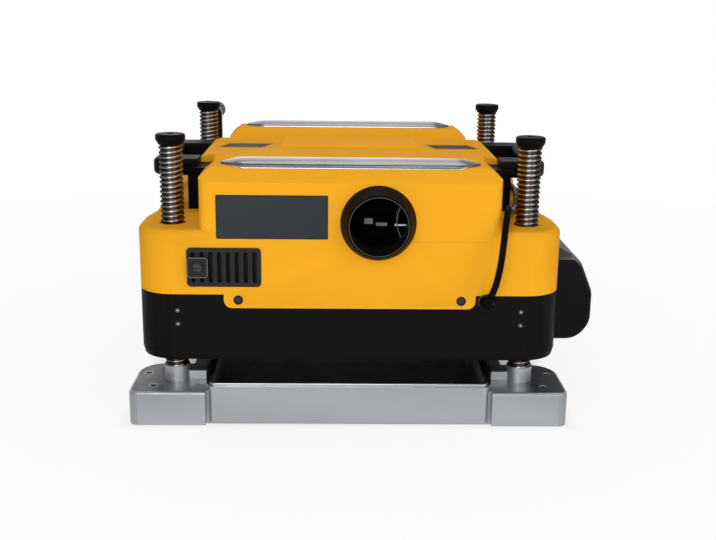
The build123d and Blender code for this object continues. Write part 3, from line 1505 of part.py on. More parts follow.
quarter = math.pi / 2
quarter_count = round(coil_total / quarter)
coil_ways = [Vector(0, 1, 0)]
coil_ways += [coil_way(quarter * step) for step in range(1, quarter_count)]
coil_ways.append(Vector(-1, 0, 0))
coil_points = [coil_point(quarter * step) for step in range(quarter_count + 1)]
coil_end = coil_points[-1] + coil_ways[-1] * coil_tail
with BuildPart() as cord_coil:
    with BuildLine() as coil_route:
        Line(tuple(coil_start), tuple(coil_points[0]))
        for step in range(quarter_count):
            start, end = coil_points[step], coil_points[step + 1]
            leave, arrive = coil_ways[step], coil_ways[step + 1]
            chord = end - start
            square = 2 * (1 - leave.dot(arrive))
            along = chord.dot(leave + arrive)
            reach = (math.sqrt(along ** 2 + square * chord.dot(chord)) - along) / square
            knee_in = start + leave * reach
            knee_out = end - arrive * reach
            middle = (knee_in + knee_out) * 0.5
            TangentArc(tuple(start), tuple(middle), tangent=leave)
            TangentArc(tuple(middle), tuple(end), tangent=knee_out - knee_in)
        Line(tuple(coil_points[-1]), tuple(coil_end))
    with BuildSketch(Plane(coil_start, z_dir=coil_ways[0])):
        Circle(cord_diameter / 2)
    sweep(path=coil_route.wires()[0])
coil_length = coil_route.wires()[0].length
coil_section = math.pi * cord_diameter ** 2 / 4
print("cord_coil length", round(coil_length, 1), "volume ratio",
      round(cord_coil.part.volume / (coil_section * coil_length), 4))
samples = [coil_point(coil_total * step / 1500) for step in range(1501)]
apart = round(1500 * math.pi / coil_total)
least = min(
    (samples[here] - samples[there]).length
    for here in range(0, 1501, 3)
    for there in range(here + apart, 1501, 3)
)
print("cord_coil least gap", round(least - cord_diameter, 2))
hand_in(cord_coil, "cord_coil")

# Plug: a tapered neck, a rounded body and two round pins
with BuildPart() as plug:
    neck = Plane(coil_end, z_dir=(-1, 0, 0))
    for reach, radius in ((0, plug_neck_radius), (plug_neck_length, plug_radius - plug_edge)):
        with BuildSketch(neck.offset(reach)):
            Circle(radius)
    loft()
    with BuildSketch(neck.offset(plug_neck_length)):
        RectangleRounded(2 * plug_radius, 2 * plug_radius, plug_edge)
    extrude(amount=plug_length)
    with BuildSketch(neck.offset(plug_neck_length + plug_length)):
        with GridLocations(0, plug_pin_spacing, 1, 2):
            Circle(plug_pin_radius)
    extrude(amount=plug_pin_length)
hand_in(plug, "plug")
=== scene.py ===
import json
import math

import bmesh
import bpy
from mathutils import Matrix, Vector


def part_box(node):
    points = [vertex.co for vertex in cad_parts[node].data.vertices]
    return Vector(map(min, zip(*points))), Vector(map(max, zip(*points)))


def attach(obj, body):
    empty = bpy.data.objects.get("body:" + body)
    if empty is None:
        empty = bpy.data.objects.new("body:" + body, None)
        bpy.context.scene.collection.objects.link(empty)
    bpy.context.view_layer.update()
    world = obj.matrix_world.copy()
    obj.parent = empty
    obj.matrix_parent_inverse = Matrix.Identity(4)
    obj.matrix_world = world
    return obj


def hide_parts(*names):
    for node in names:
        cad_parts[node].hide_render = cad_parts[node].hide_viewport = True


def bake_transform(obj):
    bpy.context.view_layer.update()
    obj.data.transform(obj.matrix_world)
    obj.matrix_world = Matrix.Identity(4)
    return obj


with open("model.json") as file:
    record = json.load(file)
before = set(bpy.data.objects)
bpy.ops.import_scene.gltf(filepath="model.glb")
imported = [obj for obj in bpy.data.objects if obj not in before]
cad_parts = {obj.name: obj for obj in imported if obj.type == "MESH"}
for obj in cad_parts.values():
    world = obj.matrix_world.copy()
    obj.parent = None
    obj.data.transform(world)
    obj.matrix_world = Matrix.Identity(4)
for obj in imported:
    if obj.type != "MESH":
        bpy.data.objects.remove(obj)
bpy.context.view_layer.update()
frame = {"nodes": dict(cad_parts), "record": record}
nodes = frame["nodes"]
scene = bpy.context.scene
MM = 0.001

# Camera: fitted to the photograph, in metres and degrees
IMAGE_WIDTH = 716
FOCAL_PIXELS = 1055.4
CAMERA_PLACE = (-0.0166, -1.4697, 0.5193)
CAMERA_YAW = 1.207
CAMERA_PITCH = 14.591
CAMERA_ROLL = 0.681
SENSOR_WIDTH = 36.0
CLIP_START = 0.05


def add_camera():
    """A camera at the photograph's place and angle."""
    yaw, pitch, roll = (math.radians(a) for a in (CAMERA_YAW, CAMERA_PITCH, CAMERA_ROLL))
    ahead = Vector((math.sin(yaw) * math.cos(pitch), math.cos(yaw) * math.cos(pitch), -math.sin(pitch)))
    right = Vector((math.cos(yaw), -math.sin(yaw), 0))
    up = right.cross(ahead)
    level_right = math.cos(roll) * right + math.sin(roll) * up
    level_up = -math.sin(roll) * right + math.cos(roll) * up
    lens = bpy.data.cameras.new("camera")
    lens.sensor_fit = "HORIZONTAL"
    lens.sensor_width = SENSOR_WIDTH
    lens.lens = FOCAL_PIXELS / IMAGE_WIDTH * SENSOR_WIDTH
    lens.clip_start = CLIP_START
    camera = bpy.data.objects.new("camera", lens)
    scene.collection.objects.link(camera)
    turn = Matrix((level_right, level_up, -ahead)).transposed()
    camera.matrix_world = Matrix.Translation(CAMERA_PLACE) @ turn.to_4x4()
    scene.camera = camera


add_camera()


# Mesh helpers
def add_mesh(name, bm, smooth=True):
    """A mesh object from a bmesh, with its normals outwards."""
    bmesh.ops.recalc_face_normals(bm, faces=bm.faces)
    mesh = bpy.data.meshes.new(name)
    bm.to_mesh(mesh)
    bm.free()
    for face in mesh.polygons:
        face.use_smooth = smooth
    piece = bpy.data.objects.new(name, mesh)
    scene.collection.objects.link(piece)
    return piece


def skin_rings(bm, rings, closed_ends=True):
    """Faces between rings of points, each ring a closed loop of the same count."""
    made = [[bm.verts.new(point) for point in ring] for ring in rings]
    count = len(made[0])
    for low, high in zip(made, made[1:]):
        for i in range(count):
            j = (i + 1) % count
            bm.faces.new((low[i], low[j], high[j], high[i]))
    if closed_ends:
        bm.faces.new(made[0])
        bm.faces.new(made[-1])


# Cord: its route in millimetres, from the gland to the floor, and then a coil in two layers
CORD_DIAMETER = 0.008
CORD_SIDES = 14
CORD_ORDER = 3
CORD_SPANS = 6
MOSTLY_ALONG_X = 0.9
GLAND_PLACE = Vector((165.0, -248.0, 157.0)) * MM
GLAND_WAY = Vector((0.25, -0.45, 0.86)).normalized()
GLAND_NOZZLE = 0.016
CORD_LEAD = 0.014
CORD_ROUTE = [
    (175.5, -265.2, 200.0),
    (178.0, -266.2, 218.0),
    (180.0, -263.5, 236.0),
    (182.3, -256.0, 252.5),
    (185.5, -243.5, 265.0),
    (189.5, -226.5, 271.0),
    (193.3, -207.0, 270.6),
    (196.4, -186.0, 265.0),
    (201.6, -163.0, 257.8),
    (210.0, -137.0, 252.8),
    (217.8, -109.0, 251.3),
    (224.6, -79.0, 251.5),
    (230.2, -47.0, 251.3),
    (235.0, -13.0, 251.5),
    (239.0, 22.0, 251.3),
    (239.5, 56.0, 251.5),
    (236.0, 88.0, 251.3),
    (228.5, 117.0, 251.4),
    (217.5, 142.0, 251.7),
    (203.5, 164.0, 253.6),
    (198.0, 183.5, 259.8),
    (192.5, 203.0, 266.0),
    (191.4, 221.0, 269.8),
    (191.2, 239.0, 266.4),
    (191.2, 254.2, 256.2),
    (191.2, 264.4, 241.0),
    (191.4, 268.0, 223.0),
    (191.2, 267.2, 200.0),
    (190.5, 264.6, 172.0),
    (189.6, 262.3, 142.0),
    (188.8, 261.0, 113.0),
    (188.0, 260.8, 86.0),
    (186.8, 261.6, 60.0),
    (185.2, 266.2, 38.0),
    (183.2, 276.0, 20.5),
    (181.0, 290.5, 9.4),
    (179.2, 308.0, 4.7),
    (178.0, 326.0, 4.3),
    (178.0, 344.0, 4.3),
]
COIL_RADIUS = 0.060
COIL_STEP = 0.0086
COIL_TURNS_IN = 3.0
COIL_TURNS_OUT = 2.75
COIL_TAIL = 0.036
COIL_POINTS_A_TURN = 16


def coil_route(start):
    """The coil's points: in on the floor, up a layer, and out again to the plug."""
    axis = start + Vector((-COIL_RADIUS, CORD_DIAMETER, 0))
    turn = 2 * math.pi
    inward = turn * COIL_TURNS_IN
    climb = math.pi
    total = inward + climb + turn * COIL_TURNS_OUT
    back = inward + climb / 2
    count = round(total / turn * COIL_POINTS_A_TURN)
    swell = 1 / math.cos(math.pi / COIL_POINTS_A_TURN) ** 0.5
    points = []
    for step in range(count + 1):
        angle = total * step / count
        radius = (COIL_RADIUS - COIL_STEP * min(angle, 2 * back - angle) / turn) * swell
        share = min(max((angle - inward) / climb, 0), 1)
        rise = COIL_STEP * share * share * (3 - 2 * share)
        points.append(axis + Vector((radius * math.cos(angle), radius * math.sin(angle), rise)))
    points.append(points[-1] + Vector((-COIL_TAIL, 0, 0)))
    return points


def spline_line(points, name):
    """Points along the smooth NURBS line that has these control points."""
    curve = bpy.data.curves.new(name, "CURVE")
    curve.dimensions = "3D"
    spline = curve.splines.new("NURBS")
    spline.points.add(len(points) - 1)
    for place, point in zip(spline.points, points):
        place.co = (*point, 1)
    spline.order_u = CORD_ORDER
    spline.use_endpoint_u = True
    spline.resolution_u = CORD_SPANS
    holder = bpy.data.objects.new(name, curve)
    scene.collection.objects.link(holder)
    bpy.context.view_layer.update()
    mesh = bpy.data.meshes.new_from_object(holder)
    line = [vertex.co.copy() for vertex in mesh.vertices]
    bpy.data.objects.remove(holder)
    bpy.data.meshes.remove(mesh)
    return line


def tube(name, line, radius, sides):
    """A round tube along a line, with a frame carried along it."""
    bm = bmesh.new()
    rings = []
    start_way = (line[1] - line[0]).normalized()
    side = Vector((0, 0, 1)) if abs(start_way.x) > MOSTLY_ALONG_X else Vector((1, 0, 0))
    for i, point in enumerate(line):
        way = (line[min(i + 1, len(line) - 1)] - line[max(i - 1, 0)]).normalized()
        side = (side - way * side.dot(way)).normalized()
        other = way.cross(side)
        ring = []
        for k in range(sides):
            angle = 2 * math.pi * k / sides
            ring.append(point + radius * (math.cos(angle) * side + math.sin(angle) * other))
        rings.append(ring)
    skin_rings(bm, rings)
    return add_mesh(name, bm)


gland_tip = GLAND_PLACE + GLAND_WAY * GLAND_NOZZLE
route = [gland_tip, gland_tip + GLAND_WAY * CORD_LEAD]
route += [Vector(point) * MM for point in CORD_ROUTE]
route += coil_route(route[-1])
cord_line = spline_line(route, "cord_line")
cord = tube("mains_cord", cord_line, CORD_DIAMETER / 2, CORD_SIDES)
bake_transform(cord)
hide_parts("cord_upper", "cord_drop", "cord_coil")


# Shader helpers
def new_material(name):
    """A material with its shader and an object coordinate input."""
    material = bpy.data.materials.new(name)
    material.use_nodes = True
    tree = material.node_tree
    shader = tree.nodes["Principled BSDF"]
    place = tree.nodes.new("ShaderNodeTexCoord").outputs["Object"]
    return material, tree, shader, place


def split(tree, vector):
    """A vector's X, Y and Z."""
    node = tree.nodes.new("ShaderNodeSeparateXYZ")
    tree.links.new(vector, node.inputs["Vector"])
    return node.outputs


def calc(tree, operation, *values):
    """One sum on factors and numbers."""
    node = tree.nodes.new("ShaderNodeMath")
    node.operation = operation
    for socket, value in zip(node.inputs, values):
        if isinstance(value, float):
            socket.default_value = value
        else:
            tree.links.new(value, socket)
    return node.outputs["Value"]


def noise(tree, place, scale, detail, stretch=(1, 1, 1), distortion=0.0):
    """A noise factor at a scale in features a metre, stretched along the axes."""
    node = tree.nodes.new("ShaderNodeTexNoise")
    node.inputs["Scale"].default_value = scale
    node.inputs["Detail"].default_value = detail
    node.inputs["Distortion"].default_value = distortion
    mapping = tree.nodes.new("ShaderNodeMapping")
    mapping.inputs["Scale"].default_value = stretch
    tree.links.new(place, mapping.inputs["Vector"])
    tree.links.new(mapping.outputs["Vector"], node.inputs["Vector"])
    return node.outputs["Fac"]


def spread(tree, factor, low, high, out_low, out_high):
    """A factor's span from low to high, spread over another span."""
    node = tree.nodes.new("ShaderNodeMapRange")
    node.inputs["From Min"].default_value = low
    node.inputs["From Max"].default_value = high
    node.inputs["To Min"].default_value = out_low
    node.inputs["To Max"].default_value = out_high
    tree.links.new(factor, node.inputs["Value"])
    return node.outputs["Result"]


def rising(tree, factor, low, high):
    """0 below a span and 1 above it."""
    return spread(tree, factor, low, high, 0.0, 1.0)


def falling(tree, factor, low, high):
    """1 below a span and 0 above it."""
    return spread(tree, factor, low, high, 1.0, 0.0)


def mix(tree, factor, first, second):
    """A colour between two colours, by a factor."""
    node = tree.nodes.new("ShaderNodeMix")
    node.data_type = "RGBA"
    tree.links.new(factor, node.inputs["Factor"])
    for socket, value in ((node.inputs["A"], first), (node.inputs["B"], second)):
        if isinstance(value, tuple):
            socket.default_value = (*value, 1)
        else:
            tree.links.new(value, socket)
    return node.outputs["Result"]


def paint(tree, shader, colour):
    """Give a shader a colour that varies."""
    tree.links.new(colour, shader.inputs["Base Color"])


def gloss(tree, shader, pattern, smoothest, roughest):
    """Give a shader a roughness that varies over the middle of a noise."""
    tree.links.new(spread(tree, pattern, *NOISE_MIDDLE, smoothest, roughest), shader.inputs["Roughness"])


def bump(tree, shader, height, distance):
    """Surface relief from a height factor, on top of any relief that is there."""
    node = tree.nodes.new("ShaderNodeBump")
    node.inputs["Distance"].default_value = distance
    tree.links.new(height, node.inputs["Height"])
    before = shader.inputs["Normal"].links
    if before:
        tree.links.new(before[0].from_socket, node.inputs["Normal"])
    tree.links.new(node.outputs["Normal"], shader.inputs["Normal"])


def outer_edges(tree):
    """A factor that is high along outer edges, for wear and for painted highlights."""
    geometry = tree.nodes.new("ShaderNodeNewGeometry")
    return rising(tree, geometry.outputs["Pointiness"], *EDGE_SPAN)


def facing(tree, axis):
    """How far a face looks along an axis, from -1 to 1."""
    return split(tree, tree.nodes.new("ShaderNodeNewGeometry").outputs["Normal"])[axis]


def from_axis(tree, axes, first, second, plane="XY"):
    """Distance from the nearest of the lines square to a plane, at plus or minus both places."""
    squares = []
    for axis, middle in zip(plane, (first, second)):
        away = calc(tree, "SUBTRACT", calc(tree, "ABSOLUTE", axes[axis]), middle)
        squares.append(calc(tree, "MULTIPLY", away, away))
    return calc(tree, "SQRT", calc(tree, "ADD", *squares))


def shade(colour, factor):
    """A colour made lighter or darker."""
    return tuple(min(c * factor, 1.0) for c in colour)


# Noise patterns, each a scale in features a metre and a detail, their tones, and the spans of them that show
MOTTLE = (9.0, 4.0)
MOTTLE_TONES = (0.95, 1.05)
SMEAR = (38.0, 5.0)
SMEAR_SWIRL = 0.4
SMEAR_SMOOTHS = 0.05
SMEAR_ROUGHENS = 0.06
STAIN = (24.0, 5.0)
POLISH_TONES = (0.75, 1.25)
FLECK = (2600.0, 1.0)
FLECK_TONES = (0.86, 1.14)
CLOUD = (14.0, 4.0)
PAINT_GLOSS = (60.0, 4.0)
ORANGE_PEEL = (520.0, 3.0)
CASTING_WAVES = (90.0, 2.0)
OIL = (130.0, 4.0)
THREAD_PITS = (700.0, 3.0)
PLUG_GLOSS = (120.0, 4.0)
PLUG_GRAIN = (1300.0, 2.0)
BLOOM = (45.0, 5.0)
BLOOM_PALE = 1.8
BLOOM_SMOOTHS = 0.06
BLOOM_ROUGHENS = 0.08
PORES = (1400.0, 2.0)
SCREW_SCRATCH = (900.0, 3.0)
CAP_SCRATCH = (600.0, 3.0)
SCALE_AGE = (30.0, 4.0)
SCALE_GLOSS = (80.0, 3.0)
SCALE_GRAIN = (700.0, 2.0)
GRAIN_DETAIL = 2.0
METAL_DETAIL = 4.0
NOISE_MIDDLE = (0.3, 0.7)
MOTTLE_SPAN = (0.35, 0.65)
STAIN_SPAN = (0.35, 0.7)
FLECK_SPAN = (0.4, 0.62)
OIL_SPAN = (0.4, 0.7)
BLOOM_SPAN = (0.45, 0.75)
EDGE_SPAN = (0.52, 0.60)
CRISP = 0.0002

# Faces that look up get a painted sheen, paler still on bevels, standing in for their reflection of the bright room
SHEEN_SPAN = (0.10, 0.42)
BEVEL_SPAN = (0.20, 0.45)
BEVEL_SHEEN = 4.0

# Places on the base casting, and how pale or dark its paint is there
GUIDE_INNER = 0.1744
GUIDE_OUTER = 0.178
GUIDE_FOOT = 0.047
POST_X = 0.218
POST_Y = 0.195
PAD_TOP = 0.044
PAD_FADE = 0.004
PAD_OUTWARD = 0.014
BOSS_X = 0.1785
BOSS_X_FADE = 0.001
BOSS_Z_FADE = 0.0004
BENCH_HOLES = ((0.245, 0.222), (0.258, 0.177))
HOLE_PAINTED_RADIUS = 0.0048
HOLE_FADE = 0.0004
HOLE_LIP = (PAD_TOP - 0.0014, PAD_TOP - 0.0010)
EDGE_ROUND = ((0.20, 0.45), (0.82, 0.97))
FLAT_SPAN = (0.96, 0.995)
UPRIGHT_SPAN = (0.20, 0.40)
# Paler edges: wear, and a painted highlight on the rounds between tops and sides
EDGE_WEAR_AND_HIGHLIGHT = 1.6
# Flat tops painted darker as shade; paler by the front posts
TOP_SHADE = 0.36
PAD_BY_POST = 1.9
# Painted light on the bosses' upright faces
BOSS_PAINTED_LIGHT = 1.8
# Painted highlight on each hole's lip and painted shade inside it
HOLE_LIP_HIGHLIGHT = 2.9
HOLE_SHADE = 0.1

# Places on the posts, rails, screws, brush cap, scale and plug
POST_CREST = 0.0146
POST_ROOT = 0.0118
CREST_FADE = 0.0004
THREAD_OUTER = (POST_X + 0.002, POST_X + 0.007)
# Outer side of each post painted dark as a reflection
THREAD_OUTER_DARK_REFLECTION = 0.24
THREAD_INNER = (POST_X - 0.010, POST_X - 0.002)
THREAD_OILY = 0.7
THREAD_ROUGHNESS = (0.34, 0.13)
RAIL_BACK = 0.172
RAIL_FRONT = 0.219
RAIL_LIP = 0.0038
RAIL_LIP_FADE = 0.0003
RAIL_STAINED = 0.86
# Painted highlight along the rail's lips
RAIL_LIP_HIGHLIGHT = 2.6
RAIL_BRUSH = (240.0, 4.0, (0.05, 1, 1))
SCREW_X = 0.135
SCREW_Z = 0.161
SCREW_SOCKET = (0.0026, 0.0040)
SIDE_SCREWS = (0.168, 0.172)
BRUSH_X = 0.183
BRUSH_Z = 0.202
BRUSH_GREY_SPAN = (0.0042, 0.0056)
SCALE_MARKS = ((0.002, 0.0004, 0.004), (0.010, 0.0007, -0.002))
SCALE_MARK_FADE = 0.0001
PLUG_BLADES = 0.018

# Colours in linear light
YELLOW = (0.820, 0.375, 0.017)
BLACK = (0.0038, 0.0031, 0.0033)
COVER = (0.0048, 0.0046, 0.0060)
# Paler colour for the cover's upward faces: a painted reflection
COVER_SHEEN = (0.050, 0.050, 0.051)
SLATE = (0.024, 0.030, 0.036)
# Paler grey trim, used as a painted highlight on rims and edges
TRIM_HIGHLIGHT_GREY = (0.020, 0.020, 0.021)
SILVER = (0.250, 0.260, 0.274)
STEEL = (0.56, 0.57, 0.58)
TABLE_STEEL = (0.50, 0.505, 0.51)
CHROME = (0.60, 0.605, 0.62)
# Painted shade in the thread's grooves
THREAD_ROOT_SHADE = (0.036, 0.026, 0.015)
# Brown painted reflection of the yellow head
THREAD_HEAD_REFLECTION = (0.36, 0.20, 0.075)
THREAD_EDGE = (0.30, 0.27, 0.24)
RAIL_CHROME = (0.320, 0.322, 0.326)
BRASS = (0.60, 0.40, 0.14)
BLADE_METAL = (0.55, 0.52, 0.44)
ALLOY = (0.46, 0.47, 0.48)
VANE_ALLOY = (0.16, 0.16, 0.165)
ZINC = (0.78, 0.77, 0.76)
IRON = (0.12, 0.12, 0.125)
RED = (0.45, 0.018, 0.014)
ROLLER_BLACK = (0.022, 0.022, 0.024)
BELT_BLACK = (0.016, 0.016, 0.016)
CORD_BLACK = (0.0050, 0.0040, 0.0040)
# Black of the sheets behind the grille: painted shade
SHADE_SHEET_BLACK = (0.006, 0.006, 0.006)
SOCKET_GREY = (0.034, 0.031, 0.038)
CAP_GREY = (0.034, 0.034, 0.037)
SCALE_NEW = (0.70, 0.70, 0.66)
SCALE_OLD = (0.62, 0.62, 0.58)
PLUG_BLACK = shade(BLACK, 0.8)
SCREW_BLACK = shade(BLACK, 0.7)
SCREW_METAL = shade(STEEL, 0.12)
CAP_BLACK = shade(BLACK, 0.5)


# Finishes
def plastic(name, colour, roughness, grain=900.0, relief=0.00004, wear_and_highlight=1.25, specular=0.5, pale_patch=None):
    """Moulded plastic: slow mottling, a fine grain, uneven gloss, paler edges from wear (on the chip port strong
    enough to be a painted highlight) and a painted sheen on faces that look up, standing in for their reflection.
    """
    material, tree, shader, place = new_material(name)
    slow = rising(tree, noise(tree, place, *MOTTLE), *MOTTLE_SPAN)
    body = mix(tree, slow, *(shade(colour, tone) for tone in MOTTLE_TONES))
    if pale_patch:
        # Painted reflection: upward faces, and bevels four times more, take a paler colour in place of the light they
        # would mirror
        body = mix(tree, rising(tree, facing(tree, "Z"), *SHEEN_SPAN), body, pale_patch)
        bevel = calc(tree, "MULTIPLY", calc(tree, "ABSOLUTE", facing(tree, "Y")), facing(tree, "Z"))
        body = mix(tree, rising(tree, bevel, *BEVEL_SPAN), body, shade(pale_patch, BEVEL_SHEEN))
    # Outer edges paler: wear, and where the factor is large, as on the chip port, a painted highlight
    paint(tree, shader, mix(tree, outer_edges(tree), body, shade(colour, wear_and_highlight)))
    smear = noise(tree, place, *SMEAR, distortion=SMEAR_SWIRL)
    gloss(tree, shader, smear, roughness - SMEAR_SMOOTHS, roughness + SMEAR_ROUGHENS)
    bump(tree, shader, noise(tree, place, grain, GRAIN_DETAIL), relief)
    shader.inputs["Specular IOR Level"].default_value = specular
    return material


def metal(name, colour, roughness, grain=(1, 1, 1), scale=160.0, relief=0.00001, tint=0.9, metallic=1.0):
    """Bare metal: grain along one way, faint stains and uneven polish."""
    material, tree, shader, place = new_material(name)
    stain = rising(tree, noise(tree, place, *STAIN), *STAIN_SPAN)
    paint(tree, shader, mix(tree, stain, colour, shade(colour, tint)))
    lines = noise(tree, place, scale, METAL_DETAIL, grain)
    gloss(tree, shader, lines, roughness * POLISH_TONES[0], roughness * POLISH_TONES[1])
    bump(tree, shader, lines, relief)
    shader.inputs["Metallic"].default_value = metallic
    return material


def rubber(name, colour, roughness, specular=0.3):
    """Dull rubber with fine pores and a bloom of dust."""
    material, tree, shader, place = new_material(name)
    pale_patch = rising(tree, noise(tree, place, *BLOOM), *BLOOM_SPAN)
    paint(tree, shader, mix(tree, pale_patch, colour, shade(colour, BLOOM_PALE)))
    dull = spread(tree, pale_patch, 0.0, 1.0, roughness - BLOOM_SMOOTHS, roughness + BLOOM_ROUGHENS)
    tree.links.new(dull, shader.inputs["Roughness"])
    bump(tree, shader, noise(tree, place, *PORES), distance=0.00003)
    shader.inputs["Specular IOR Level"].default_value = specular
    return material


def silver_paint(name, colour):
    """Metallic grey paint on a casting: fleck and orange peel; edges paler from wear and, on their rounds, a painted
    highlight; painted light on the bosses; a painted highlight and painted shade in the drilled holes; flat tops
    painted darker as shade, paler by the front posts. The guide walls by the table are black."""
    material, tree, shader, place = new_material(name)
    axes = split(tree, place)
    beside = calc(tree, "ABSOLUTE", axes["X"])
    slope = calc(tree, "ABSOLUTE", facing(tree, "Z"))
    fleck = rising(tree, noise(tree, place, *FLECK), *FLECK_SPAN)
    cloud = rising(tree, noise(tree, place, *CLOUD), *MOTTLE_SPAN)
    body = mix(tree, fleck, *(shade(colour, tone) for tone in FLECK_TONES))
    clouded = mix(tree, cloud, body, colour)
    # Painted highlight on the rounded faces between tops and sides; sharp outer edges are also paler from wear
    rounded = calc(tree, "MULTIPLY", rising(tree, slope, *EDGE_ROUND[0]), falling(tree, slope, *EDGE_ROUND[1]))
    lightened = mix(tree, calc(tree, "MAXIMUM", outer_edges(tree), rounded), clouded, shade(colour, EDGE_WEAR_AND_HIGHLIGHT))

    # Flat tops painted darker as shade under the head, and paler by the front posts
    flat = rising(tree, facing(tree, "Z"), *FLAT_SPAN)
    ahead = rising(tree, calc(tree, "ABSOLUTE", axes["Y"]), POST_Y - PAD_FADE, POST_Y + PAD_FADE)
    by_post = calc(tree, "MULTIPLY", ahead, falling(tree, beside, POST_X - PAD_FADE, POST_X + PAD_OUTWARD))
    top = mix(tree, by_post, shade(colour, TOP_SHADE), shade(colour, PAD_BY_POST))
    top_shaded = mix(tree, flat, lightened, top)

    # Painted light on the upright faces of the bosses and webs, which sit in shade under the head
    upright = falling(tree, slope, *UPRIGHT_SPAN)
    upright = calc(tree, "MULTIPLY", upright, rising(tree, beside, BOSS_X, BOSS_X + BOSS_X_FADE))
    boss = calc(tree, "MULTIPLY", upright, rising(tree, axes["Z"], PAD_TOP, PAD_TOP + BOSS_Z_FADE))
    finish = mix(tree, boss, top_shaded, shade(colour, BOSS_PAINTED_LIGHT))

    # Painted highlight on each drilled hole's lip and painted shade inside it
    bare_and_lit = mix(tree, rising(tree, axes["Z"], *HOLE_LIP), shade(colour, HOLE_SHADE), shade(colour, HOLE_LIP_HIGHLIGHT))
    for hole_x, hole_y in BENCH_HOLES:
        drilled = falling(tree, from_axis(tree, axes, hole_x, hole_y), HOLE_PAINTED_RADIUS, HOLE_PAINTED_RADIUS + HOLE_FADE)
        finish = mix(tree, drilled, finish, bare_and_lit)

    inner = rising(tree, beside, GUIDE_INNER, GUIDE_INNER + CRISP)
    outer = falling(tree, beside, GUIDE_OUTER, GUIDE_OUTER + CRISP)
    above = rising(tree, axes["Z"], GUIDE_FOOT, GUIDE_FOOT + CRISP)
    guide = calc(tree, "MULTIPLY", calc(tree, "MULTIPLY", inner, outer), above)
    paint(tree, shader, mix(tree, guide, finish, BLACK))

    gloss(tree, shader, noise(tree, place, *PAINT_GLOSS), smoothest=0.36, roughest=0.5)
    bump(tree, shader, noise(tree, place, *ORANGE_PEEL), distance=0.00006)
    bump(tree, shader, noise(tree, place, *CASTING_WAVES), distance=0.00012)
    shader.inputs["Metallic"].default_value = 0.78
    shader.inputs["Specular IOR Level"].default_value = 0.3
    return material


def thread_chrome(name, colour):
    """Chromed thread with painted shade in the grooves, its outer side painted dark as a reflection so that its
    middle reads bright, oily patches, and a brown painted reflection of the yellow head on the head's side.
    """
    material, tree, shader, place = new_material(name)
    axes = split(tree, place)
    beside = calc(tree, "ABSOLUTE", axes["X"])
    crest = rising(tree, from_axis(tree, axes, POST_X, POST_Y), POST_ROOT, POST_CREST - CREST_FADE)
    oil = rising(tree, noise(tree, place, *OIL), *OIL_SPAN)
    flank = mix(tree, oil, shade(colour, THREAD_OILY), colour)
    # Outer side painted dark as a reflection, so the middle reads as a bright band
    flank = mix(tree, rising(tree, beside, *THREAD_OUTER), flank, shade(colour, THREAD_OUTER_DARK_REFLECTION))
    # Painted reflection of the yellow head on the side that faces it
    flank = mix(tree, falling(tree, beside, *THREAD_INNER), flank, THREAD_HEAD_REFLECTION)
    # Grooves get painted shade
    paint(tree, shader, mix(tree, crest, THREAD_ROOT_SHADE, flank))
    tree.links.new(spread(tree, crest, 0.0, 1.0, *THREAD_ROUGHNESS), shader.inputs["Roughness"])
    bump(tree, shader, noise(tree, place, *THREAD_PITS), distance=0.000006)
    shader.inputs["Metallic"].default_value = 1.0
    shader.inputs["Specular Tint"].default_value = (*THREAD_EDGE, 1)
    return material


def rail_finish(name, colour):
    """Brushed steel, stained along its back, with a painted highlight on the lips along both edges."""
    material, tree, shader, place = new_material(name)
    beside = calc(tree, "ABSOLUTE", split(tree, place)["Y"])
    front_lip = rising(tree, beside, RAIL_FRONT - RAIL_LIP - RAIL_LIP_FADE, RAIL_FRONT - RAIL_LIP)
    back_lip = falling(tree, beside, RAIL_BACK + RAIL_LIP, RAIL_BACK + RAIL_LIP + RAIL_LIP_FADE)
    stain = rising(tree, noise(tree, place, *STAIN), *STAIN_SPAN)
    brushed = mix(tree, stain, colour, shade(colour, RAIL_STAINED))
    # The lips get a painted highlight
    paint(tree, shader, mix(tree, calc(tree, "MAXIMUM", front_lip, back_lip), brushed, shade(colour, RAIL_LIP_HIGHLIGHT)))
    lines = noise(tree, place, *RAIL_BRUSH)
    gloss(tree, shader, lines, smoothest=0.16, roughest=0.28)
    bump(tree, shader, lines, distance=0.000001)
    shader.inputs["Metallic"].default_value = 1.0
    return material


def plug_finish(name):
    """A moulded black plug whose blades, at its far end, are plain metal."""
    material, tree, shader, place = new_material(name)
    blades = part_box("plug")[0].x + PLUG_BLADES
    bare_and_lit = falling(tree, split(tree, place)["X"], blades, blades + CRISP)
    paint(tree, shader, mix(tree, bare_and_lit, PLUG_BLACK, BLADE_METAL))
    tree.links.new(bare_and_lit, shader.inputs["Metallic"])
    gloss(tree, shader, noise(tree, place, *PLUG_GLOSS), smoothest=0.30, roughest=0.46)
    bump(tree, shader, noise(tree, place, *PLUG_GRAIN), distance=0.00003)
    return material


def screw_finish(name):
    """Blackened screws with grey sockets, those at the skirt's sides of scuffed metal."""
    material, tree, shader, place = new_material(name)
    axes = split(tree, place)
    bright = rising(tree, calc(tree, "ABSOLUTE", axes["X"]), *SIDE_SCREWS)
    socket = falling(tree, from_axis(tree, axes, SCREW_X, SCREW_Z, "XZ"), *SCREW_SOCKET)
    blackened = mix(tree, socket, SCREW_BLACK, SOCKET_GREY)
    paint(tree, shader, mix(tree, bright, blackened, SCREW_METAL))
    tree.links.new(bright, shader.inputs["Metallic"])
    scratch = noise(tree, place, *SCREW_SCRATCH)
    gloss(tree, shader, scratch, smoothest=0.22, roughest=0.42)
    bump(tree, shader, scratch, distance=0.00002)
    shader.inputs["Specular IOR Level"].default_value = 0.2
    return material


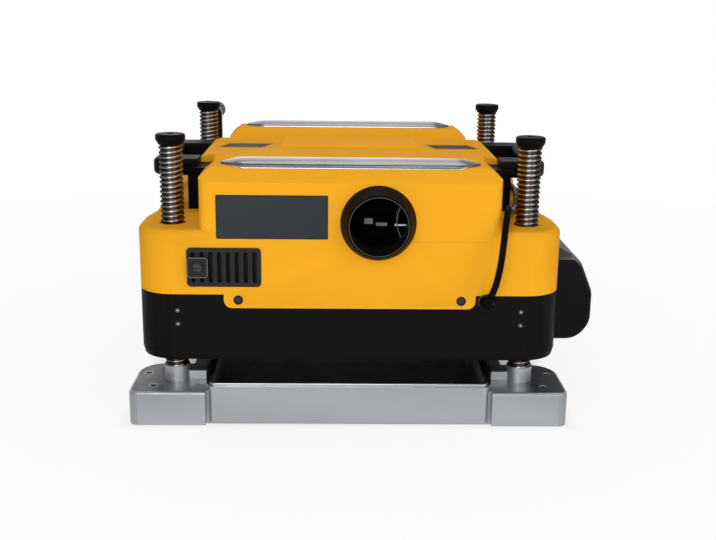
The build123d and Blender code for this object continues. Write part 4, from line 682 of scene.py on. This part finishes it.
def cap_finish(name):
    """A black brush cap, grey in its middle."""
    material, tree, shader, place = new_material(name)
    lightened = falling(tree, from_axis(tree, split(tree, place), BRUSH_X, BRUSH_Z, "XZ"), *BRUSH_GREY_SPAN)
    paint(tree, shader, mix(tree, lightened, CAP_BLACK, CAP_GREY))
    scratch = noise(tree, place, *CAP_SCRATCH)
    gloss(tree, shader, scratch, smoothest=0.26, roughest=0.42)
    bump(tree, shader, scratch, distance=0.00003)
    shader.inputs["Specular IOR Level"].default_value = 0.3
    return material


def scale_finish(name):
    """A pale scale with printed marks every 2 mm, and longer ones every 10 mm."""
    material, tree, shader, place = new_material(name)
    axes = split(tree, place)
    middle = (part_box("depth_scale")[0].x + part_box("depth_scale")[1].x) / 2
    inks = []
    for pitch, width, edge in SCALE_MARKS:
        folded = calc(tree, "PINGPONG", axes["Z"], pitch / 2)
        line = falling(tree, folded, width / 2, width / 2 + SCALE_MARK_FADE)
        reach = rising(tree, axes["X"], middle + edge, middle + edge + CRISP)
        inks.append(calc(tree, "MULTIPLY", line, reach))
    aged = rising(tree, noise(tree, place, *SCALE_AGE), *NOISE_MIDDLE)
    ground = mix(tree, aged, SCALE_NEW, SCALE_OLD)
    paint(tree, shader, mix(tree, calc(tree, "MAXIMUM", *inks), ground, BLACK))
    gloss(tree, shader, noise(tree, place, *SCALE_GLOSS), smoothest=0.35, roughest=0.5)
    bump(tree, shader, noise(tree, place, *SCALE_GRAIN), distance=0.00001)
    return material


# Materials by the slot of a node, and for some nodes their own
black = plastic("black_plastic", BLACK, roughness=0.42, grain=1100.0, relief=0.00006, wear_and_highlight=2.2, specular=0.022)
black_gloss = plastic("black_gloss", shade(BLACK, 0.7), roughness=0.18, grain=300.0, relief=0.00001, wear_and_highlight=1.5,
                      specular=0.4)
knob_black = plastic("knob_black", shade(BLACK, 3.2), roughness=0.36, grain=600.0, wear_and_highlight=2.4, specular=0.35)
# Paler grey for trim, a painted highlight on rims and edges
trim_highlight_grey = plastic("trim_highlight_grey", TRIM_HIGHLIGHT_GREY, roughness=0.35, grain=300.0, relief=0.00001, wear_and_highlight=3.0)
chrome = thread_chrome("post_chrome", shade(CHROME, 0.85))
rail_chrome = rail_finish("rail_chrome", RAIL_CHROME)
steel = metal("machined_steel", STEEL, roughness=0.30, grain=(1, 12, 12), scale=180.0)
belt_rubber = rubber("belt_rubber", BELT_BLACK, roughness=0.68)
cord_rubber = rubber("cord_rubber", CORD_BLACK, roughness=0.30, specular=0.012)
slot_material = {
    "base_grey": silver_paint("base_grey", SILVER),
    "table_steel": metal("table_steel", TABLE_STEEL, roughness=0.20, grain=(1, 60, 1), scale=70.0, relief=0.000006),
    "post_chrome": chrome,
    "black_plastic": black,
    "black_gloss": black_gloss,
    "yellow_shell": plastic("yellow_shell", YELLOW, roughness=0.66, grain=700.0, relief=0.00003, wear_and_highlight=1.08,
                            specular=0.02),
    "rail_chrome": rail_chrome,
    # The cover's upward faces and bevels are painted paler as a painted reflection
    "cover_grey": plastic("cover_grey", COVER, roughness=0.40, grain=1000.0, relief=0.00007, wear_and_highlight=2.0, specular=0.06,
                          pale_patch=COVER_SHEEN),
    "frame_alloy": metal("cast_alloy", ALLOY, roughness=0.46, scale=420.0, relief=0.00012, tint=0.82),
    "steel": steel,
    "crank_black": plastic("crank_paint", shade(BLACK, 0.9), roughness=0.30, grain=500.0, relief=0.00005, wear_and_highlight=3.0,
                           specular=0.3),
    "iron": metal("laminations", IRON, roughness=0.5, grain=(80, 1, 1), scale=60.0, relief=0.00006),
    "roller_rubber": rubber("roller_rubber", ROLLER_BLACK, roughness=0.72),
    "belt_rubber": belt_rubber,
    "nut_brass": metal("nut_brass", BRASS, roughness=0.28, grain=(1, 1, 30), scale=120.0),
    "cord_rubber": cord_rubber,
    "switch_red": plastic("switch_red", RED, roughness=0.32, grain=600.0, relief=0.00002, wear_and_highlight=1.2),
}
node_material = {
    "vent_grille": plastic("grille_black", BLACK, roughness=0.46, grain=1200.0, relief=0.00006, wear_and_highlight=2.2,
                           specular=0.25),
    "housing_screws": screw_finish("screws"),
    "depth_scale": scale_finish("scale_marks"),
    "plug": plug_finish("plug_black"),
    # The chip port's rim edges are painted much paler, a painted highlight
    "chip_port": plastic("port_black", shade(BLACK, 0.6), roughness=0.50, grain=300.0, relief=0.00001, wear_and_highlight=9.0,
                         specular=0.06),
    "brush_cap": cap_finish("brush_black"),
    "control_panel": knob_black,
    "stop_knob": knob_black,
    "breaker_button": plastic("button_black", shade(BLACK, 1.6), roughness=0.20, grain=300.0, relief=0.00001,
                              wear_and_highlight=4.0),
}


def dress(piece, material):
    """Give a piece one material."""
    if not piece.material_slots:
        piece.data.materials.append(material)
    for place in piece.material_slots:
        place.material = material


def fit(piece, material, body):
    """Give a new piece its material and the body that it rides on."""
    dress(piece, material)
    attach(piece, body)


for row in frame["record"]["subparts"]:
    dress(nodes[row["node"]], node_material.get(row["node"]) or slot_material[row["material_slot"]])
dress(cord, cord_rubber)


# Posts: real threads in place of the ring grooves
POST_PLACES = {
    "post_outfeed_left": (-POST_X, -POST_Y),
    "post_outfeed_right": (POST_X, -POST_Y),
    "post_infeed_left": (-POST_X, POST_Y),
    "post_infeed_right": (POST_X, POST_Y),
}
POST_PITCH = 0.006
POST_SIDES = 48
POST_ROW = 0.0006
POST_LOW = 0.060
POST_HIGH = 0.343
THREAD_LOW = 0.064
THREAD_FADE = 0.002
THREAD_ROUNDING = 0.55


def threaded_post(name, x, y):
    """A column with a rounded helical thread up to its cap and a plain foot."""
    bm = bmesh.new()
    rows = round((POST_HIGH - POST_LOW) / POST_ROW)
    rings = []
    for row in range(rows + 1):
        z = POST_LOW + (POST_HIGH - POST_LOW) * row / rows
        share = min(max((z - THREAD_LOW) / THREAD_FADE, 0.0), 1.0)
        ring = []
        for k in range(POST_SIDES):
            turn = k / POST_SIDES
            angle = 2 * math.pi * turn
            wave = 0.5 + 0.5 * math.cos(2 * math.pi * (z / POST_PITCH - turn))
            radius = POST_CREST - (POST_CREST - POST_ROOT) * share * (1 - wave ** THREAD_ROUNDING)
            ring.append((x + radius * math.cos(angle), y + radius * math.sin(angle), z))
        rings.append(ring)
    skin_rings(bm, rings)
    return add_mesh(name, bm)


for node, (x, y) in POST_PLACES.items():
    post = threaded_post(node.replace("post", "thread"), x, y)
    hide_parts(node)
    fit(post, chrome, "base")

# Rails: chrome domes with boat-shaped ends that lap over the outer edge of each ridge
RAIL_HALF = 0.158
RIDGE_OUTER = 0.215
RIDGE_SLOPE = 15 / 27
RAIL_TIP = 0.10
RAIL_TAPER = 0.030
RAIL_SEAT = 0.320
RAIL_LIP_RISE = 0.0011
RAIL_LIP_LEAST = 0.0001
RAIL_RISE = 0.0071
RAIL_RISE_AT_TIP = 0.35
RAIL_ROUNDING = 0.62
RAIL_SOLE = 0.8
RAIL_STEPS = 120
RAIL_SECTION = 20


def ridge_height(y):
    """The ridge's top at a distance from the middle, flat and then sloping down."""
    return RAIL_SEAT - max(y - RIDGE_OUTER, 0.0) * RIDGE_SLOPE


def rail(name, side):
    """One rail along X, drawn in and lowered towards both ends."""
    bm = bmesh.new()
    middle = (RAIL_BACK + RAIL_FRONT) / 2
    half = (RAIL_FRONT - RAIL_BACK) / 2
    inner = 1 - RAIL_LIP / half
    rings = []
    for step in range(RAIL_STEPS + 1):
        x = -RAIL_HALF * math.cos(math.pi * step / RAIL_STEPS)
        run_in = math.sin(min((RAIL_HALF - abs(x)) / RAIL_TAPER, 1.0) * math.pi / 2)
        width = RAIL_TIP + (1 - RAIL_TIP) * run_in
        rise = RAIL_RISE * (RAIL_RISE_AT_TIP + (1 - RAIL_RISE_AT_TIP) * run_in)
        lip = RAIL_LIP_RISE * run_in + RAIL_LIP_LEAST
        section = [(-1.0, 0.0), (-1.0, lip)]
        for k in range(RAIL_SECTION + 1):
            across = -math.cos(math.pi * k / RAIL_SECTION)
            section.append((inner * across, lip + rise * (1 - across * across) ** RAIL_ROUNDING))
        section += [(1.0, lip), (1.0, 0.0), (RAIL_SOLE, 0.0), (0.0, 0.0), (-RAIL_SOLE, 0.0)]
        ring = []
        for across, lift in section:
            y = middle + half * width * across
            ring.append((x, side * y, ridge_height(y) + lift))
        rings.append(ring)
    skin_rings(bm, rings)
    return add_mesh(name, bm)


near_rail = rail("rail_outfeed", -1)
far_rail = rail("rail_infeed", 1)
for piece in (near_rail, far_rail):
    fit(piece, rail_chrome, "head")
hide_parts("carry_rails")

# Bare plate on the outfeed face, where the machine carries its notice
CORNER_STEPS = 6
PLATE_MIDDLE = (-0.0935, 0.2635)
PLATE_SIZE = (0.133, 0.053)
PLATE_CORNER = 0.0015
PLATE_PROFILE = ((0.0, -0.0002), (0.0, 0.0006), (0.0004, 0.0009), (0.0012, 0.0009), (0.0016, 0.0005))
FACE_Y = -0.242


def rounded_outline(width, height, corner):
    """Points round a rectangle with rounded corners, about its middle."""
    points = []
    for turn, (sx, sy) in enumerate(((1, 1), (-1, 1), (-1, -1), (1, -1))):
        for k in range(CORNER_STEPS + 1):
            angle = math.pi / 2 * (turn + k / CORNER_STEPS)
            points.append((sx * (width / 2 - corner) + corner * math.cos(angle),
                           sy * (height / 2 - corner) + corner * math.sin(angle)))
    return points


def bare_plate():
    """A thin plate with a raised rim, standing on the outfeed face."""
    bm = bmesh.new()
    rings = []
    for inset, proud in PLATE_PROFILE:
        outline = rounded_outline(PLATE_SIZE[0] - 2 * inset, PLATE_SIZE[1] - 2 * inset, PLATE_CORNER)
        rings.append([(PLATE_MIDDLE[0] + x, FACE_Y - proud, PLATE_MIDDLE[1] + z) for x, z in outline])
    skin_rings(bm, rings)
    return add_mesh("bare_plate", bm, smooth=False)


plate_slate = plastic("plate_slate", SLATE, roughness=0.38, grain=400.0, relief=0.00001, wear_and_highlight=0.6, specular=0.15)
fit(bare_plate(), plate_slate, "head")

# Dark liners in the two hand pockets of the plateau
POCKET_FLOOR = 0.306
LINER_TOP = 0.3098
POCKET_CORNERS = ((0.1225, 0.0105), (0.1830, 0.0105), (0.1694, 0.0555), (0.1088, 0.0555))
for side, name in ((-1, "pocket_liner_left"), (1, "pocket_liner_right")):
    bm = bmesh.new()
    skin_rings(bm, [[(side * x, y, z) for x, y in POCKET_CORNERS] for z in (POCKET_FLOOR, LINER_TOP)])
    liner = add_mesh(name, bm, smooth=False)
    fit(liner, black, "head")

# Black sheets behind the grille, painted shade so that its slots look into the dark
SCREEN_Y = (-0.2345, -0.2335)
SCREENS = {
    "grille_screen": ((-0.171, -0.110), (0.181, 0.223)),
    "grille_screen_high": ((-0.193, -0.1712), (0.2110, 0.223)),
    "grille_screen_low": ((-0.193, -0.1712), (0.181, 0.1930)),
}


def box_mesh(name, low, high):
    """A plain box between two corners."""
    bm = bmesh.new()
    corners = [(low[0], low[1]), (high[0], low[1]), (high[0], high[1]), (low[0], high[1])]
    skin_rings(bm, [[(x, y, z) for x, y in corners] for z in (low[2], high[2])])
    return add_mesh(name, bm, smooth=False)


# Black sheets as painted shade behind the grille's slots
shade_sheet = rubber("shade_sheet", SHADE_SHEET_BLACK, roughness=0.8)
for name, (span_x, span_z) in SCREENS.items():
    screen = box_mesh(name, (span_x[0], SCREEN_Y[0], span_z[0]), (span_x[1], SCREEN_Y[1], span_z[1]))
    fit(screen, shade_sheet, "head")

# Inside the chip port: a curved splitter wall, a latch pin and two vanes, with a bead round the rim; the splitter and
# the bead are a paler grey as a painted highlight
PORT = Vector((0.033, 0.0, 0.257))
SPLITTER_MIDDLE = 0.062
SPLITTER_RADIUS = 0.040
SPLITTER_HALF = 0.0215
SPLITTER_Y = (-0.229, -0.206)
SPLITTER_WALL = 0.0014
SPLITTER_STEPS = 16
PIN_REACH = (0.020, 0.0362)
PIN_RADIUS = 0.0013
PIN_Y = -0.2265
PIN_Z = PORT.z - 0.005
VANES = {
    "port_vane_left": (-0.011, -0.0035, 0.0105, 0.0070),
    "port_vane_right": (0.005, -0.0074, 0.0135, 0.0040),
}
VANE_Y = (-0.212, -0.210)
RIM_Y = FACE_Y - 0.023
BEAD_REACH = 0.0352
BEAD_RADIUS = 0.0005
BEAD_STEPS = 96
BEAD_SIDES = 8
ROUND_SIDES = 20
ROD_EDGE = 0.4
WELD = 0.000005


def splitter():
    """A thin wall on an arc, from the front of the duct inwards."""
    bm = bmesh.new()
    swing = math.asin(SPLITTER_HALF / SPLITTER_RADIUS)
    rings = []
    for k in range(SPLITTER_STEPS + 1):
        angle = math.pi + swing * (2 * k / SPLITTER_STEPS - 1)
        way = Vector((math.cos(angle), 0, -math.sin(angle)))
        ring = []
        for radius, y in ((0, 0), (1, 0), (1, 1), (0, 1)):
            point = PORT + Vector((SPLITTER_MIDDLE, 0, 0)) + way * (SPLITTER_RADIUS - SPLITTER_WALL * radius)
            ring.append((point.x, SPLITTER_Y[y], point.z))
        rings.append(ring)
    skin_rings(bm, rings)
    return add_mesh("port_splitter", bm, smooth=False)


def close_ring(name, bm, rings, smooth=True):
    """A piece whose sections run round and meet."""
    skin_rings(bm, rings + rings[:1], closed_ends=False)
    bmesh.ops.remove_doubles(bm, verts=bm.verts, dist=WELD)
    return add_mesh(name, bm, smooth=smooth)


def bead_ring(name, middle, reach, size):
    """A fine round bead about a line along Y."""
    bm = bmesh.new()
    rings = []
    for k in range(BEAD_STEPS):
        turn = 2 * math.pi * k / BEAD_STEPS
        way = Vector((math.cos(turn), 0, math.sin(turn)))
        ring = []
        for j in range(BEAD_SIDES):
            angle = 2 * math.pi * j / BEAD_SIDES
            ring.append(middle + way * (reach + size * math.cos(angle)) + Vector((0, size * math.sin(angle), 0)))
        rings.append(ring)
    return close_ring(name, bm, rings)


def rod(name, start, end, radius):
    """A straight round rod between two points."""
    start, end = Vector(start), Vector(end)
    edge = (end - start).normalized() * radius * ROD_EDGE
    return tube(name, [start, start + edge, end - edge, end], radius, ROUND_SIDES)


fit(splitter(), trim_highlight_grey, "head")
bead = bead_ring("port_bead", Vector((PORT.x, RIM_Y, PORT.z)), BEAD_REACH, BEAD_RADIUS)
fit(bead, trim_highlight_grey, "head")
pin = rod("port_pin", *((PORT.x + reach, PIN_Y, PIN_Z) for reach in PIN_REACH), PIN_RADIUS)
fit(pin, metal("pin_zinc", ZINC, roughness=0.45, scale=300.0, metallic=0.3), "head")
vane_alloy = metal("vane_alloy", VANE_ALLOY, roughness=0.5, scale=420.0, relief=0.00008, metallic=0.4)
for name, (x, z, width, height) in VANES.items():
    vane = box_mesh(name, (PORT.x + x - width / 2, VANE_Y[0], PORT.z + z - height / 2),
                    (PORT.x + x + width / 2, VANE_Y[1], PORT.z + z + height / 2))
    fit(vane, vane_alloy, "head")

# Ring round the cord gland, and the raised edge round the brush cap, in the same paler grey; on the edge it is a
# painted highlight of its lit top
GLAND_RING = Vector((0.165, FACE_Y - 0.0012, 0.1605))
GLAND_RING_REACH = 0.0090
GLAND_RING_RADIUS = 0.0010
BEZEL_SIDE = 0.0254
BEZEL_CORNER = 0.0042
BEZEL_WALL = 0.0015
BEZEL_PROUD = (0.0025, 0.0041)


def bezel():
    """A raised square edge round the brush cap."""
    bm = bmesh.new()
    inside = BEZEL_SIDE - 2 * BEZEL_WALL
    rings = []
    for wide, slim in zip(rounded_outline(BEZEL_SIDE, BEZEL_SIDE, BEZEL_CORNER),
                          rounded_outline(inside, inside, BEZEL_CORNER - BEZEL_WALL)):
        ring = []
        for (x, z), proud in ((wide, 0), (wide, 1), (slim, 1), (slim, 0)):
            ring.append((-BRUSH_X + x, FACE_Y - BEZEL_PROUD[proud], BRUSH_Z + z))
        rings.append(ring)
    return close_ring("brush_bezel", bm, rings, smooth=False)


for piece in (bead_ring("gland_ring", GLAND_RING, GLAND_RING_REACH, GLAND_RING_RADIUS), bezel()):
    fit(piece, trim_highlight_grey, "head")

# Button-head bolts on the skirt's plain side
BOLT_RADIUS = 0.0042
BOLT_PROUD = 0.0017
BOLT_PROFILE = ((1.0, -0.1), (1.0, 0.35), (0.88, 0.72), (0.62, 0.95), (0.45, 1.0), (0.45, 0.45))
BOLT_PLACES = ((-0.170, 0.151), (-0.170, 0.113), (0.170, 0.151), (0.170, 0.113))
HEAD_SIDE = -0.259


def button_bolts():
    """Low domes with a socket, standing on the side wall."""
    bm = bmesh.new()
    for y, z in BOLT_PLACES:
        rings = []
        for share, proud in BOLT_PROFILE:
            ring = []
            for k in range(ROUND_SIDES):
                angle = 2 * math.pi * k / ROUND_SIDES
                ring.append((HEAD_SIDE - BOLT_PROUD * proud, y + BOLT_RADIUS * share * math.cos(angle),
                             z + BOLT_RADIUS * share * math.sin(angle)))
            rings.append(ring)
        skin_rings(bm, rings)
    return add_mesh("side_bolts", bm, smooth=False)


fit(button_bolts(), black_gloss, "head")

# Bright sockets in the four small screws of the skirt
STUD_RADIUS = 0.0013
STUD_FACE = FACE_Y - 0.001
STUD_PLACES = [(side * 0.2085, z) for side in (-1, 1) for z in (0.131, 0.148)]
for name, (x, z) in zip(("stud_a", "stud_b", "stud_c", "stud_d"), STUD_PLACES):
    stud = rod(name, (x, STUD_FACE, z), (x, STUD_FACE - STUD_RADIUS / 2, z), STUD_RADIUS)
    fit(stud, steel, "head")

# Seam of the front panel beside the chip port
SEAM_LOW = (0.070, FACE_Y - 0.00015, 0.2344)
SEAM_HIGH = (0.164, FACE_Y + 0.0005, 0.2349)
seam_shade = plastic("seam_shade", shade(YELLOW, 0.62), roughness=0.5, specular=0.1)
fit(box_mesh("panel_seam", SEAM_LOW, SEAM_HIGH), seam_shade, "head")

# Strap over the coil of spare cord
STRAP_X = 0.118
STRAP_MIDDLE_Y = 0.352
STRAP_HALF_WIDTH = 0.0035
STRAP_WALL = 0.0008
STRAP_LINE = ((0.066, 0.0006), (0.066, 0.011), (0.0645, 0.0158), (0.061, 0.0178), (0.0465, 0.0182),
              (0.032, 0.0178), (0.0283, 0.0158), (0.0268, 0.011), (0.0268, 0.0006))


def strap():
    """A flat band over the coil, from the floor outside it to the floor inside it."""
    bm = bmesh.new()
    rings = []
    for i, (reach, z) in enumerate(STRAP_LINE):
        before = STRAP_LINE[max(i - 1, 0)]
        after = STRAP_LINE[min(i + 1, len(STRAP_LINE) - 1)]
        way = Vector((after[0] - before[0], after[1] - before[1])).normalized()
        outward = Vector((way.y, -way.x))
        ring = []
        for across, lift in ((-1, 0), (1, 0), (1, 1), (-1, 1)):
            place = Vector((reach, z)) + outward * STRAP_WALL * lift
            ring.append((STRAP_X + STRAP_HALF_WIDTH * across, STRAP_MIDDLE_Y - place.x, place.y))
        rings.append(ring)
    skin_rings(bm, rings)
    return add_mesh("cord_strap", bm, smooth=False)


fit(strap(), belt_rubber, "base")

# Floor, surroundings and lamps
FLOOR_SIZE = 40.0
FLOOR_GREY = 0.86
FLOOR_ROUGHNESS = 0.9
FLOOR_SHARE = 0.88
FLOOR_FADE = (0.5, 1.6)
UNDER_X = (0.200, 0.290)
UNDER_Y = (0.170, 0.260)
ROOM_LIGHT = 0.34
ROOM_BEHIND = (-0.45, 0.35, 0.42, 1.0)
ROOM_LOW = (0.12, 0.65, 1.0, 0.45)
LAMP_TARGET = Vector((0.0, 0.0, 0.2))
LAMPS = {
    "key": ((-0.45, -2.45, 0.95), 1.5, 26.5),
    "fill": ((1.5, -1.9, 0.9), 1.6, 14.5),
    "top": ((0.2, 0.2, 2.3), 1.8, 12.0),
    "back": ((-0.8, 2.2, 1.4), 2.8, 16.0),
}


def seen(tree, *rays):
    """A factor that is 1 for any of these kinds of ray."""
    path = tree.nodes.new("ShaderNodeLightPath")
    total = path.outputs[rays[0]]
    for name in rays[1:]:
        total = calc(tree, "MAXIMUM", total, path.outputs[name])
    return total


def add_floor():
    """A white floor that keeps part of the object's shadow, all of it under the head, and is plain white far away."""
    bm = bmesh.new()
    bmesh.ops.create_grid(bm, x_segments=1, y_segments=1, size=FLOOR_SIZE)
    floor = add_mesh("floor", bm, smooth=False)
    material, tree, shader, place = new_material("floor")
    shader.inputs["Base Color"].default_value = (FLOOR_GREY, FLOOR_GREY, FLOOR_GREY, 1)
    shader.inputs["Roughness"].default_value = FLOOR_ROUGHNESS
    shader.inputs["Specular IOR Level"].default_value = 0.0
    away = tree.nodes.new("ShaderNodeVectorMath")
    away.operation = "LENGTH"
    tree.links.new(place, away.inputs[0])
    axes = split(tree, place)
    aside = rising(tree, calc(tree, "ABSOLUTE", axes["X"]), *UNDER_X)
    ahead = rising(tree, calc(tree, "ABSOLUTE", axes["Y"]), *UNDER_Y)
    share = spread(tree, away.outputs["Value"], *FLOOR_FADE, FLOOR_SHARE, 1.0)
    share = calc(tree, "MULTIPLY", share, calc(tree, "MAXIMUM", aside, ahead))
    direct = seen(tree, "Is Camera Ray", "Is Glossy Ray", "Is Transmission Ray")
    glow = tree.nodes.new("ShaderNodeEmission")
    blend = tree.nodes.new("ShaderNodeMixShader")
    tree.links.new(calc(tree, "MULTIPLY", direct, share), blend.inputs["Fac"])
    tree.links.new(shader.outputs["BSDF"], blend.inputs[1])
    tree.links.new(glow.outputs["Emission"], blend.inputs[2])
    tree.links.new(blend.outputs["Shader"], tree.nodes["Material Output"].inputs["Surface"])
    dress(floor, material)


def blend_values(tree, factor, first, second):
    """A value between two values, by a factor."""
    node = tree.nodes.new("ShaderNodeMix")
    tree.links.new(factor, node.inputs["Factor"])
    for socket, value in ((node.inputs["A"], first), (node.inputs["B"], second)):
        if isinstance(value, float):
            socket.default_value = value
        else:
            tree.links.new(value, socket)
    return node.outputs["Result"]


def add_world():
    """White surroundings, dimmer as light; metal sees them white low down and behind, and dimmer elsewhere."""
    world = bpy.data.worlds.new("studio")
    world.use_nodes = True
    scene.world = world
    tree = world.node_tree
    background = tree.nodes["Background"]
    background.inputs["Color"].default_value = (1, 1, 1, 1)
    axes = split(tree, tree.nodes.new("ShaderNodeTexCoord").outputs["Generated"])
    behind = spread(tree, axes["Y"], *ROOM_BEHIND)
    low = spread(tree, axes["Z"], *ROOM_LOW)
    glossy = seen(tree, "Is Glossy Ray")
    mirrored = blend_values(tree, glossy, ROOM_LIGHT, calc(tree, "MULTIPLY", behind, low))
    direct = seen(tree, "Is Camera Ray", "Is Transmission Ray")
    tree.links.new(blend_values(tree, direct, mirrored, 1.0), background.inputs["Strength"])


def add_lamp(name, place, size, power):
    """A soft square lamp that faces the head."""
    light = bpy.data.lights.new(name, "AREA")
    light.size = size
    light.energy = power
    lamp = bpy.data.objects.new(name, light)
    scene.collection.objects.link(lamp)
    lamp.location = place
    lamp.rotation_euler = (LAMP_TARGET - Vector(place)).to_track_quat("-Z", "Y").to_euler()


add_floor()
add_world()
for name, lamp in LAMPS.items():
    add_lamp(name, *lamp)
scene.view_settings.view_transform = "Standard"
